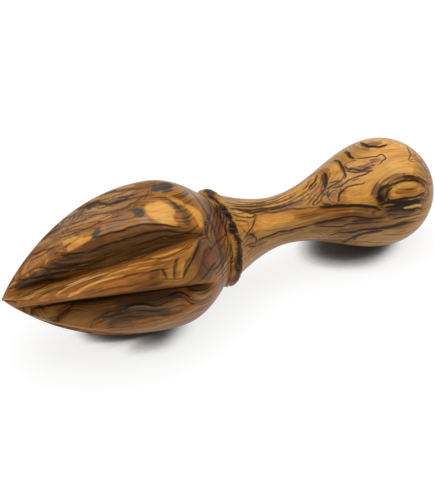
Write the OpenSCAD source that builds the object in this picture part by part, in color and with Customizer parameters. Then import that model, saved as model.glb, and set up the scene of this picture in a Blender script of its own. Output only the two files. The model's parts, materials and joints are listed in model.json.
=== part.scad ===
// Citrus reamer, turned from one piece of olive wood and then carved.
// It lies on its head and its knob, with its tip towards -X.

/* [Reamer head] */
// Length of the head, from the tip to the groove before the bead
head_l = 71.5; // [69:0.5:74]
// Largest diameter of the head
head_d = 48.6; // [44:0.2:53]
// Distance from the tip to the widest place
head_widest = 50; // [46:1:54]
// Diameter where the head meets the bead
shoulder_d = 30.4; // [29:0.2:32]
// Roundness of the pointed end: 1 is fullest
tip_fullness = 0.85; // [0.8:0.01:0.95]
// Diameter of the small flat at the very tip
tip_flat_d = 1.1; // [0.8:0.1:2]

/* [Flutes] */
// Distance from the tip to the sharp end of each flute
flute_l = 62; // [56:0.5:64]
// Radius of the solid core that the flutes leave at the very tip
core_r = 0.6; // [0.4:0.1:1]
// Angle between a flute's upper wall and the flute's middle plane
wall_upper = 49; // [40:1:50]
// Angle between a flute's lower wall and the flute's middle plane
wall_lower = 46; // [40:1:50]

/* [Bead] */
// Width of the raised bead
bead_w = 4.4; // [3.6:0.1:5.2]
// Diameter over the bead
bead_d = 33; // [31.6:0.1:34.4]
// Width of the small groove on the head's side of the bead
groove_w = 0.5; // [0.4:0.1:1]

/* [Handle] */
// Whole length of the reamer
total_l = 157; // [150:1:165]
// Diameter where the handle leaves the bead
collar_d = 29.6; // [28:0.2:31]
// Diameter of the neck
neck_d = 16.6; // [14:0.2:20]
// Distance from the tip to the thinnest place of the neck
neck_at = 97; // [93:1:101]
// Diameter of the knob
knob_d = 37.3; // [33:0.1:40]
// Distance from the tip to the widest place of the knob
knob_at = 138; // [133:1:141]

/* [Hidden] */
$fn = 96;

// Each flute: the angle of its mouth about the axis, from straight down by way of the front, the distance
// by which its line misses the axis at the tip, how much steeper its upper and lower walls are cut than the
// usual ones, and how much thicker a core it leaves at the tip. A hand-cut piece isn't quite even.
flutes = [
    [42, 0, 0, 0, 5.4],
    [96, -3.5, 10, 0, 0],
    [137, -0.5, 0, 10, 0],
    [192, 3, 0, 0, 0],
    [247, 4, 0, 0, 0],
    [303, 1.5, 0, 0, 0],
    [360, 0, wall_upper - wall_lower, 0, 0]
];

bead_start = head_l;
bead_end = head_l + bead_w;
mouth_r = head_r(flute_l);
cutter_l = 90;
cutter_r = 60;

// Radius of the head at z from the tip
function head_r(z) = z <= head_widest
    ? head_d / 2 * sin(90 * pow(z / head_widest, tip_fullness))
    : shoulder_d / 2 + (head_d - shoulder_d) / 2
        * cos(90 * pow((z - head_widest) / (head_l - head_widest), 1.35));

// Radius of the handle at z from the tip
function handle_r(z) = z <= neck_at
    ? neck_d / 2 + (collar_d - neck_d) / 2 * pow((neck_at - z) / (neck_at - bead_end), 1.68)
    : z <= knob_at
    ? neck_d / 2 + (knob_d - neck_d) / 4 * (1 - cos(180 * pow((z - neck_at) / (knob_at - neck_at), 1.08)))
    : knob_d / 2 * sqrt(max(0, 1 - pow((z - knob_at) / (total_l - knob_at), 2)));

// How a flute's valley climbs from the tip to its mouth
function valley_slope(core) = atan((mouth_r - core) / flute_l);

// Half the angle of the bottom flute's opening at z. Both its walls lean alike.
function opening(z) =
    let (valley = core_r + z * tan(valley_slope(core_r)),
        wall = atan(tan(wall_lower) * cos(valley_slope(core_r))))
    wall - asin(valley / head_r(z) * sin(wall));

// The head stands on the two edges of the bottom flute, a little behind its widest place, and the knob on
// its own curve
rest_at = head_widest + 4;
rest_r = head_r(rest_at) * cos(opening(rest_at));
tilt = asin((rest_r - knob_d / 2) / (knob_at - rest_at));
tip_x = -total_l / 2 * cos(tilt);
tip_z = rest_r / cos(tilt) + rest_at * sin(tilt);

// Lays down a section that was turned about +Z with the tip at the origin. Its +X then points down.
module lying() {
    translate([tip_x, 0, tip_z])
        rotate([0, 90 + tilt, 0])
            children();
}

// Long wedge with its sharp edge along a flute's valley
module flute_cutter(angle, miss, steeper_upper, steeper_lower, thicker_core) {
    upper = wall_upper - steeper_upper;
    lower = wall_lower - steeper_lower;
    slope = valley_slope(core_r + thicker_core);
    rotate([0, 0, -angle])
        translate([mouth_r, 0, flute_l])
            rotate([-atan(miss * cos(slope) / flute_l), slope, 0])
                translate([0, 0, -cutter_l])
                    linear_extrude(2 * cutter_l)
                        polygon([
                            [0, 0],
                            [cutter_r * cos(upper), -cutter_r * sin(upper)],
                            [cutter_r * cos(lower), cutter_r * sin(lower)]
                        ]);
}

module reamer_head() {
    nose_steps = 22;
    back_steps = 12;
    nose = [for (i = [1 : nose_steps]) head_widest * pow(i / nose_steps, 1.4)];
    back = [for (i = [1 : back_steps])
        head_widest + (head_l - groove_w - head_widest) * i / back_steps];
    color("peru")
        lying()
            difference() {
                rotate_extrude()
                    polygon(concat(
                        [[0, 0], [tip_flat_d / 2, 0]],
                        [for (z = concat(nose, back)) [head_r(z), z]],
                        [[shoulder_d / 2 - groove_w, head_l], [0, head_l]]
                    ));
                for (f = flutes)
                    flute_cutter(f[0], f[1], f[2], f[3], f[4]);
            }
}

module collar_bead() {
    steps = 12;
    foot = shoulder_d / 2 - groove_w;
    color("saddlebrown")
        lying()
            rotate_extrude()
                polygon(concat(
                    [[0, bead_start]],
                    [for (i = [0 : steps])
                        let (a = 180 * i / steps)
                            [foot + (bead_d / 2 - foot) * pow(sin(a), 0.7),
                                bead_start + bead_w * (1 - cos(a)) / 2]],
                    [[0, bead_end]]
                ));
}

module handle() {
    flare_steps = 10;
    swell_steps = 18;
    dome_steps = 14;
    flare = [for (i = [0 : flare_steps]) bead_end + (neck_at - bead_end) * i / flare_steps];
    swell = [for (i = [1 : swell_steps]) neck_at + (knob_at - neck_at) * i / swell_steps];
    dome = [for (i = [1 : dome_steps]) knob_at + (total_l - knob_at) * sin(90 * i / dome_steps)];
    color("burlywood")
        lying()
            rotate_extrude()
                polygon(concat(
                    [[0, bead_end]],
                    [for (z = concat(flare, swell, dome)) [handle_r(z), z]]
                ));
}

reamer_head();
collar_bead();
handle();
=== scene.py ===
import bpy
import json
import math
import numpy as np
from mathutils import Euler, Matrix, Vector


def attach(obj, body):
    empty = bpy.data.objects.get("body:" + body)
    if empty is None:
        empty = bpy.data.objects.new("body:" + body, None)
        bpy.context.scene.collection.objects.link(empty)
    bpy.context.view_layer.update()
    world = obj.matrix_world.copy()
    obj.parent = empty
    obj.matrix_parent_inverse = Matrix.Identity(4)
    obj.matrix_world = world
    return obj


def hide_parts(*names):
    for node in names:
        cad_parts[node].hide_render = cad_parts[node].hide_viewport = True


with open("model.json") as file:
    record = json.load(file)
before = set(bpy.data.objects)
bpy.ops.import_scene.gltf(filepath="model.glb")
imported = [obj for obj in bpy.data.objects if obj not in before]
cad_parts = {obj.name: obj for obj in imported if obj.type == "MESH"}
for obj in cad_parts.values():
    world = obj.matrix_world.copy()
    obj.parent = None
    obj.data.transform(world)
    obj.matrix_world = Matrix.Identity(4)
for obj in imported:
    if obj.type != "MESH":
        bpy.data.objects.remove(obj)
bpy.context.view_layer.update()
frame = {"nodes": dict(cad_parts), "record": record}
print("frame loaded:", sorted(frame["nodes"]))

mm = 0.001  # shapes are worked out in millimetres and placed in metres

# Camera: the photo's view, from the left, the front and above
cameraView = dict(azimuth=-27.975, elevation=40.192, place=(-164.13, -302.0, 307.25), lens=98.71)


def makeCamera():
    data = bpy.data.cameras.new("camera")
    data.lens = cameraView["lens"]
    data.sensor_width = 36
    data.clip_start, data.clip_end = 0.01, 20
    camera = bpy.data.objects.new("camera", data)
    camera.location = Vector(cameraView["place"]) * mm
    tiltDown = math.radians(90 - cameraView["elevation"])
    camera.rotation_euler = Euler((tiltDown, 0, math.radians(cameraView["azimuth"])))
    bpy.context.scene.collection.objects.link(camera)
    bpy.context.scene.camera = camera


makeCamera()
print("camera ready")


# Node trees: a Wire is one socket, so that a formula can be written as a formula
class Wire:
    def __init__(self, tree, socket):
        self.tree, self.socket = tree, socket

    def __add__(self, other): return calc("ADD", self, other)
    def __radd__(self, other): return calc("ADD", other, self)
    def __sub__(self, other): return calc("SUBTRACT", self, other)
    def __rsub__(self, other): return calc("SUBTRACT", other, self)
    def __mul__(self, other): return calc("MULTIPLY", self, other)
    def __rmul__(self, other): return calc("MULTIPLY", other, self)
    def __truediv__(self, other): return calc("DIVIDE", self, other)


def plug(tree, value, socket):
    if isinstance(value, Wire):
        tree.links.new(value.socket, socket)
    elif value is not None:
        socket.default_value = value


def calc(operation, *values):
    tree = next(v.tree for v in values if isinstance(v, Wire))
    node = tree.nodes.new("ShaderNodeMath")
    node.operation = operation
    for value, socket in zip(values, node.inputs):
        plug(tree, value, socket)
    return Wire(tree, node.outputs[0])


def lesser(a, b): return calc("MINIMUM", a, b)
def greater(a, b): return calc("MAXIMUM", a, b)
def sine(a): return calc("SINE", a)
def cosine(a): return calc("COSINE", a)


def ramp(value, low, high, start=0.0, end=1.0, smooth=True):
    tree = value.tree
    node = tree.nodes.new("ShaderNodeMapRange")
    node.interpolation_type = "SMOOTHSTEP" if smooth else "LINEAR"
    for item, socket in zip((value, low, high, start, end), node.inputs):
        plug(tree, item, socket)
    return Wire(tree, node.outputs[0])


def addNode(tree, kind, settings=None, **values):
    node = tree.nodes.new(kind)
    for name, value in (settings or {}).items():
        setattr(node, name, value)
    for name, value in values.items():
        plug(tree, value, node.inputs[name.replace("_", " ")])
    return node


def out(node, name=0):
    return Wire(node.id_data, node.outputs[name])


# Light and ground
studio = dict(worldLow=0.12, worldHigh=0.65, shineLow=1.0, shineHigh=0.05, shineEnd=0.3, lampPower=22.0,
              lampSize=1.6, lampPlace=(0.12, 0.1, 1.5), floorSize=6.0, floorColour=0.93, floorFaint=0.2,
              floorWhite=1.02, closeShadow=0.014, shadowLean=(0.87, -0.12, 0.47), shadowSamples=16,
              fadeFrom=0.53, fadeTo=0.73)


def seenRay(tree):
    # 1 where a thing is seen, straight, in a reflection or through glass, and 0 where it only gives light
    path = addNode(tree, "ShaderNodeLightPath")
    indirect = greater(out(path, "Is Glossy Ray"), out(path, "Is Transmission Ray"))
    return greater(out(path, "Is Camera Ray"), indirect)


def makeStudio():
    world = bpy.data.worlds.new("studio")
    bpy.context.scene.world = world
    world.use_nodes = True
    sky = world.node_tree
    background = sky.nodes["Background"]
    background.inputs["Color"].default_value = (1, 1, 1, 1)
    # The sky lights from above, while its reflections are bright near the horizon only
    split = addNode(sky, "ShaderNodeSeparateXYZ", Vector=out(addNode(sky, "ShaderNodeTexCoord"), "Generated"))
    height = out(split, "Z")
    lit = ramp(height, 0.0, 1.0, studio["worldLow"], studio["worldHigh"], smooth=False)
    shine = ramp(height, 0.0, studio["shineEnd"], studio["shineLow"], studio["shineHigh"])
    plug(sky, lit + (shine - lit) * seenRay(sky), background.inputs["Strength"])
    data = bpy.data.lights.new("softbox", "AREA")
    data.shape = "SQUARE"
    data.size = studio["lampSize"]
    data.energy = studio["lampPower"]
    lamp = bpy.data.objects.new("softbox", data)
    lamp.location = studio["lampPlace"]
    lamp.rotation_euler = (Vector((0, 0, 0)) - lamp.location).to_track_quat("-Z", "Y").to_euler()
    bpy.context.scene.collection.objects.link(lamp)

    half = studio["floorSize"] / 2
    mesh = bpy.data.meshes.new("floor")
    corners = [(-half, -half, 0), (half, -half, 0), (half, half, 0), (-half, half, 0)]
    mesh.from_pydata(corners, [], [(0, 1, 2, 3)])
    floor = bpy.data.objects.new("floor", mesh)
    bpy.context.scene.collection.objects.link(floor)
    material = bpy.data.materials.new("white_ground")
    material.use_nodes = True
    tree = material.node_tree
    tree.nodes.clear()
    diffuse = addNode(tree, "ShaderNodeBsdfDiffuse")
    # The floor is seen as plain white that fades out close under the object, over a faintly lit floor
    lean = addNode(tree, "ShaderNodeCombineXYZ", **dict(zip("XYZ", studio["shadowLean"])))
    near = addNode(tree, "ShaderNodeAmbientOcclusion", {"samples": studio["shadowSamples"]},
                   Distance=studio["closeShadow"], Normal=out(lean))
    fade = ramp(out(near, "AO"), studio["fadeFrom"], studio["fadeTo"])
    seen = seenRay(tree)
    lit = studio["floorColour"] + (studio["floorFaint"] - studio["floorColour"]) * seen
    colour = addNode(tree, "ShaderNodeCombineColor", Red=lit, Green=lit, Blue=lit)
    tree.links.new(colour.outputs[0], diffuse.inputs["Color"])
    white = studio["floorWhite"] - studio["floorFaint"]
    glow = addNode(tree, "ShaderNodeEmission", Strength=fade * white * seen)
    both = addNode(tree, "ShaderNodeAddShader")
    tree.links.new(diffuse.outputs[0], both.inputs[0])
    tree.links.new(glow.outputs[0], both.inputs[1])
    output = addNode(tree, "ShaderNodeOutputMaterial")
    tree.links.new(both.outputs[0], output.inputs["Surface"])
    material.cycles.emission_sampling = "NONE"
    mesh.materials.append(material)
    bpy.context.scene.view_settings.view_transform = "Standard"


makeStudio()
print("studio ready")

# The turning axis, from the neck_grip mount: the tip, the way along the axis, the way up and the way to the
# front
mounts = {m["name"]: m for m in frame["record"]["mounts"]}
neckAt = 97.0  # distance from the tip to the neck_grip mount
along = Vector(mounts["neck_grip"]["axis"]).normalized()
tip = Vector(mounts["neck_grip"]["pos_m"]) - along * neckAt * mm
toFront = Vector((0, -1, 0))
upward = toFront.cross(along)


# Shapes are made upright, with the tip at the origin: X is up, Y is the front and Z runs along the axis
def layDown(mesh):
    columns = [upward * mm, toFront * mm, along * mm]
    place = Matrix([[c[i] for c in columns] + [tip[i]] for i in range(3)] + [[0, 0, 0, 1]])
    mesh.transform(place)


headSizes = {"Length": 71.5, "Diameter": 48.6, "Widest At": 50.0, "Shoulder": 30.4, "Fullness": 0.85,
             "Groove": 0.15, "Tip Radius": 0.5, "Flute Length": 62.0, "Core": 0.6, "Upper Wall": 49.0,
             "Lower Wall": 46.0, "Crest Round": 0.3, "Valley Round": 0.3}
# Each flute: angle from the front (up is 90), miss of its line at the tip, steeper upper and lower wall,
# thicker core at the tip
flutes = [(-48, 0, 0, 0, 5.4), (6, -3.5, 10, 0, 0), (47, -0.5, 0, 10, 0), (102, 3, 0, 0, 0),
          (157, 4, 0, 0, 0), (213, 1.5, 0, 0, 0), (270, 0, 3, 0, 0)]
# Columns of the mesh for each flute, most where the photo looks. The rows crowd towards the tip.
headGrid = dict(columns=(100, 100, 100, 100, 30, 30, 30), rows=198, crowding=1.12)
shoulderPower = 1.35  # how late the head's back curves down to the shoulder
leastOpening = 0.02  # a direction that meets a flute's wall at less than this doesn't meet it
uncut = 1000  # radius that stands for no cut
thinnest = 0.2  # least radius that the flutes leave


def fluteSector(flute, z, value):
    # One flute: how far its walls and its valley lie from the axis, and the angle of its valley
    angle, miss, steeperUpper, steeperLower, thicker = flute
    core = value["Core"] + thicker
    slope = (value["Mouth"] - core) / value["Flute Length"]
    valleyTurn = cosine(calc("ARCTANGENT", slope))
    valley = core + slope * z
    aside = (1 - z / value["Flute Length"]) * miss
    tanUpper = calc("TANGENT", (value["Upper Wall"] - steeperUpper) * (math.pi / 180)) * valleyTurn
    tanLower = calc("TANGENT", (value["Lower Wall"] - steeperLower) * (math.pi / 180)) * valleyTurn
    upper = valley * tanUpper - aside
    lower = valley * tanLower + aside
    return dict(angle=math.radians(angle), tanUpper=tanUpper, tanLower=tanLower, upper=upper, lower=lower,
                centre=calc("ARCTAN2", aside, valley))


def wallCut(sector, around, valleyRound):
    turn = around - sector["angle"]
    upperSide = cosine(turn) * sector["tanUpper"] - sine(turn)
    lowerSide = cosine(turn) * sector["tanLower"] + sine(turn)
    open_ = calc("GREATER_THAN", lesser(upperSide, lowerSide), leastOpening)
    upper = sector["upper"] / greater(upperSide, leastOpening)
    lower = sector["lower"] / greater(lowerSide, leastOpening)
    cut = calc("SMOOTH_MAX", upper, lower, valleyRound)
    return cut * open_ + (1 - open_) * uncut


def crestAngle(one, two, twoAngle):
    # Where the upper wall of one flute meets the lower wall of the next
    a, b = one["angle"], twoAngle
    ax = one["tanUpper"] * math.cos(a) + math.sin(a)
    ay = one["tanUpper"] * math.sin(a) - math.cos(a)
    bx = two["tanLower"] * math.cos(b) - math.sin(b)
    by = two["tanLower"] * math.sin(b) + math.cos(b)
    x = one["upper"] * by - two["lower"] * ay
    y = two["lower"] * ax - one["upper"] * bx
    middle = (a + b) / 2
    sideways = y * math.cos(middle) - x * math.sin(middle)
    outward = x * math.cos(middle) + y * math.sin(middle)
    return calc("ARCTAN2", sideways, outward) + middle


def headTree():
    tree = bpy.data.node_groups.new("fluted_head", "GeometryNodeTree")
    tree.interface.new_socket("Geometry", in_out="OUTPUT", socket_type="NodeSocketGeometry")
    for name in headSizes:
        tree.interface.new_socket(name, in_out="INPUT", socket_type="NodeSocketFloat")
    tree.interface.new_socket("Columns", in_out="INPUT", socket_type="NodeSocketInt")
    tree.interface.new_socket("Rows", in_out="INPUT", socket_type="NodeSocketInt")
    tree.interface.new_socket("Material", in_out="INPUT", socket_type="NodeSocketMaterial")
    given = addNode(tree, "NodeGroupInput")
    value = {name: out(given, name) for name in headSizes}

    tube = addNode(tree, "GeometryNodeMeshCylinder", {"fill_type": "TRIANGLE_FAN"}, Radius=1.0, Depth=1.0)
    plug(tree, out(given, "Columns"), tube.inputs["Vertices"])
    plug(tree, out(given, "Rows"), tube.inputs["Side Segments"])
    split = addNode(tree, "ShaderNodeSeparateXYZ", Vector=out(addNode(tree, "GeometryNodeInputPosition")))
    px, py, pz = (out(split, i) for i in range(3))
    share = calc("FRACT", calc("ARCTAN2", py, px) / (2 * math.pi) + 1.0001)
    z = calc("POWER", greater(pz + 0.5, 0), headGrid["crowding"]) * value["Length"]

    def plainRadius(at):
        nose = sine(calc("POWER", greater(at, 0) / value["Widest At"], value["Fullness"]) * (math.pi / 2))
        nose = nose * value["Diameter"] / 2
        behind = greater(at - value["Widest At"], 0) / (value["Length"] - value["Widest At"])
        fall = cosine(calc("POWER", lesser(behind, 1), shoulderPower) * (math.pi / 2))
        back = value["Shoulder"] / 2 + fall * (value["Diameter"] - value["Shoulder"]) / 2
        isBack = calc("GREATER_THAN", at, value["Widest At"])
        return nose * (1 - isBack) + back * isBack

    value["Mouth"] = plainRadius(value["Flute Length"])
    groove = greater(z - value["Length"] + value["Groove"], 0)
    radius = greater(plainRadius(z), value["Tip Radius"]) - groove

    sectors = [fluteSector(flute, z, value) for flute in flutes]
    # The columns are moved so that they follow every edge and valley
    column = share * sum(headGrid["columns"])
    firstColumn = 0
    leastTurn, backTurn = 0.012, 0.22  # least angle between an edge and its valley, and the same at the back
    widen = ramp(z, value["Flute Length"] - 2, value["Length"], leastTurn, backTurn)
    crests = []
    for i, sector in enumerate(sectors):
        following = sectors[(i + 1) % len(sectors)]
        nextAngle = following["angle"] + (2 * math.pi if i == len(sectors) - 1 else 0)
        crest = crestAngle(sector, following, nextAngle)
        between = (sector["angle"] + nextAngle) / 2
        atBack = ramp(z, headSizes["Widest At"], headSizes["Flute Length"])
        crests.append(crest + atBack * (between - crest))
    around = None
    knots = (0.0, 0.13, 0.5, 0.87, 1.0)  # shares of the columns at crest, edge, valley, edge and crest
    for i, sector in enumerate(sectors):
        low = crests[i - 1] - (2 * math.pi if i == 0 else 0)
        high = crests[i]
        upperWall = calc("ARCTANGENT", sector["tanUpper"])
        lowerWall = calc("ARCTANGENT", sector["tanLower"])
        upperReach = calc("ARCSINE", lesser(sector["upper"] * cosine(upperWall) / radius, 1))
        lowerReach = calc("ARCSINE", lesser(sector["lower"] * cosine(lowerWall) / radius, 1))
        upperEdge = upperWall - upperReach + sector["angle"]
        lowerEdge = lowerReach - lowerWall + sector["angle"]
        centre = sector["centre"] + sector["angle"]
        upperEdge = lesser(greater(upperEdge, centre + widen), high - leastTurn)
        lowerEdge = greater(lesser(lowerEdge, centre - widen), low + leastTurn)
        stops = (low, lowerEdge, centre, upperEdge, high)
        t = (column - firstColumn) / headGrid["columns"][i]
        firstColumn += headGrid["columns"][i]
        angle = low
        for k in range(len(knots) - 1):
            part = ramp(t, knots[k], knots[k + 1], smooth=False)
            angle = angle + part * (stops[k + 1] - stops[k])
        inside = calc("GREATER_THAN", t, 0.0) * calc("LESS_THAN", t, 1.0)
        around = angle * inside if around is None else around + angle * inside

    cut = radius
    for sector in sectors:
        turned = calc("WRAP", around, sector["angle"] + math.pi, sector["angle"] - math.pi)
        cut = calc("SMOOTH_MIN", cut, wallCut(sector, turned, value["Valley Round"]), value["Crest Round"])
    cut = greater(cut, thinnest)
    isCap = calc("LESS_THAN", px * px + py * py, 0.25)  # the middle of each end
    cut = cut * (1 - isCap)
    point = addNode(tree, "ShaderNodeCombineXYZ", X=cut * sine(around), Y=cut * cosine(around), Z=z)
    moved = addNode(tree, "GeometryNodeSetPosition", Position=out(point))
    tree.links.new(tube.outputs["Mesh"], moved.inputs["Geometry"])
    smooth = addNode(tree, "GeometryNodeSetShadeSmooth")
    tree.links.new(moved.outputs[0], smooth.inputs[0])
    real = addNode(tree, "GeometryNodeRealizeInstances")
    tree.links.new(smooth.outputs[0], real.inputs[0])
    painted = addNode(tree, "GeometryNodeSetMaterial", Material=out(given, "Material"))
    tree.links.new(real.outputs[0], painted.inputs["Geometry"])
    result = addNode(tree, "NodeGroupOutput")
    tree.links.new(painted.outputs[0], result.inputs[0])
    return tree


def makeHead(material):
    seed = bpy.data.objects.new("head_seed", bpy.data.meshes.new("head_seed"))
    bpy.context.scene.collection.objects.link(seed)
    tree = headTree()
    modifier = seed.modifiers.new("flutes", "NODES")
    modifier.node_group = tree
    values = dict(headSizes, Columns=sum(headGrid["columns"]), Rows=headGrid["rows"], Material=material)
    for item in tree.interface.items_tree:
        if item.in_out == "INPUT":
            modifier[item.identifier] = values[item.name]
    graph = bpy.context.evaluated_depsgraph_get()
    mesh = bpy.data.meshes.new_from_object(seed.evaluated_get(graph))
    bpy.data.objects.remove(seed)
    return mesh


# Turned sections: radius at z from the tip, in millimetres
beadSizes = dict(start=71.5, width=4.4, foot=15.05, endFoot=14.7, radius=16.5, fullness=0.8, lean=1.5,
                 rough=0.42, rows=30, columns=420)
handleSizes = dict(start=75.9, end=157.0, collar=29.6, neck=16.6, flare=1.68, knob=37.3, knobAt=138.0,
                   swell=1.08, bodyRows=170, domeRows=72, endFlat=0.02, columns=380)


def beadRadius(z):
    share = np.clip((z - beadSizes["start"]) / beadSizes["width"], 0, 1)
    rise = np.sqrt(1 - (1 - 2 * share ** beadSizes["lean"]) ** 2) ** beadSizes["fullness"]
    foot = beadSizes["foot"] + (beadSizes["endFoot"] - beadSizes["foot"]) * share
    return foot + (beadSizes["radius"] - foot) * rise


def handleRadius(z):
    s = handleSizes
    flare = (np.clip(neckAt - z, 0, None) / (neckAt - s["start"])) ** s["flare"]
    swell = np.clip((z - neckAt) / (s["knobAt"] - neckAt), 0, 1) ** s["swell"]
    dome = np.clip((z - s["knobAt"]) / (s["end"] - s["knobAt"]), 0, 1)
    collar = (s["collar"] - s["neck"]) / 2 * flare
    knob = (s["knob"] - s["neck"]) / 4 * (1 - np.cos(np.pi * swell))
    body = s["neck"] / 2 + collar + knob
    return np.where(z > s["knobAt"], s["knob"] / 2 * np.sqrt(1 - dome ** 2), body)


def turnedMesh(name, heights, radii, columns):
    # Rings about the Z axis, closed at both ends by a middle vertex
    angles = np.arange(columns) * 2 * math.pi / columns
    rings = np.stack([radii[:, None] * np.sin(angles), radii[:, None] * np.cos(angles),
                      np.repeat(heights[:, None], columns, 1)], -1).reshape(-1, 3)
    points = np.vstack([rings, [[0, 0, heights[0]], [0, 0, heights[-1]]]])
    rows = len(heights)
    faces = []
    for i in range(rows - 1):
        for j in range(columns):
            k = (j + 1) % columns
            faces.append((i * columns + j, (i + 1) * columns + j, (i + 1) * columns + k, i * columns + k))
    first, last = rows * columns, rows * columns + 1
    for j in range(columns):
        k = (j + 1) % columns
        faces.append((first, j, k))
        faces.append((last, (rows - 1) * columns + k, (rows - 1) * columns + j))
    mesh = bpy.data.meshes.new(name)
    mesh.from_pydata(points.tolist(), [], faces)
    mesh.polygons.foreach_set("use_smooth", [True] * len(mesh.polygons))
    return mesh


# Figure of the wood. Its lines and stripes were picked by eye in the photo, and a separate script turned their
# places there into places on the surface. Points are "z angle": z in millimetres from the tip, angle in
# degrees from the front, where up is 90. The back and the underside are made up in the same manner.
tones = dict(cream=(0.74, 0.40, 0.13), pale=(0.70, 0.35, 0.085), honey=(0.62, 0.29, 0.055),
             gold=(0.66, 0.31, 0.06), amber=(0.46, 0.18, 0.03), tan=(0.40, 0.20, 0.065),
             orange=(0.33, 0.12, 0.02), brown=(0.22, 0.095, 0.028), red=(0.17, 0.06, 0.02),
             olive=(0.15, 0.072, 0.018), moss=(0.23, 0.125, 0.036), dark=(0.062, 0.027, 0.010),
             night=(0.022, 0.009, 0.004), apricot=(0.50, 0.24, 0.075), hazel=(0.17, 0.085, 0.04),
             umber=(0.14, 0.068, 0.028), ash=(0.36, 0.22, 0.12), bronze=(0.26, 0.12, 0.025),
             coffee=(0.10, 0.045, 0.015), rust=(0.26, 0.10, 0.04), blush=(0.33, 0.15, 0.07),
             slate=(0.07, 0.05, 0.035), dune=(0.40, 0.22, 0.065), sand=(0.31, 0.15, 0.035),
             plum=(0.17, 0.075, 0.045), cocoa=(0.26, 0.12, 0.045), lichen=(0.30, 0.235, 0.115))
# Broad soft areas: tone, strength, z, angle, half length along, half width around, turn in degrees
areas = [
    ("pale", 0.8, 135, 82, 14, 11, 0), ("cream", 0.5, 140, 72, 9, 6, 0), ("pale", 0.5, 98, 84, 12, 3, 12),
    ("tan", 0.5, 84, 96, 10, 4, 6), ("honey", 0.9, 124, 50, 9, 5, 0), ("amber", 0.8, 119, 54, 6, 3, 10),
    ("amber", 0.9, 139, 34, 8, 3.4, 0), ("orange", 0.45, 137, 41, 7, 1.6, 0),
    ("dark", 0.8, 135, 21, 10, 2.6, -6), ("dark", 0.9, 129, 34, 2.4, 4.5, 0),
    ("night", 0.6, 141, 21, 7, 1.4, -4), ("brown", 0.7, 121, 16, 7, 2, 0),
    ("orange", 0.8, 112, 24, 9, 2.2, -8), ("orange", 0.5, 104, 32, 8, 1.6, -30),
    ("brown", 0.85, 118, 0, 12, 4, 0), ("red", 0.7, 124, -10, 12, 4, 0), ("brown", 0.7, 104, -4, 14, 3, 0),
    ("tan", 0.7, 134, -34, 16, 8, 0), ("moss", 0.4, 108, -30, 16, 5, 0), ("tan", 0.5, 92, 4, 12, 4, 8),
    ("olive", 0.35, 94, 102, 10, 3, 8), ("brown", 0.5, 82, 62, 5, 3, 20), ("brown", 0.4, 80, 42, 3, 4, 0),
    ("amber", 0.4, 80, 52, 2, 4, 0), ("brown", 0.35, 112, 76, 7, 4, 20), ("amber", 0.5, 110, 66, 6, 4, 0),
    ("pale", 0.5, 122, 84, 4, 5, 0), ("brown", 0.4, 126, 100, 6, 5, 0), ("dark", 0.75, 135, 100, 3, 3, 60),
    ("brown", 0.5, 150, 50, 4, 8, 0)]
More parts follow.
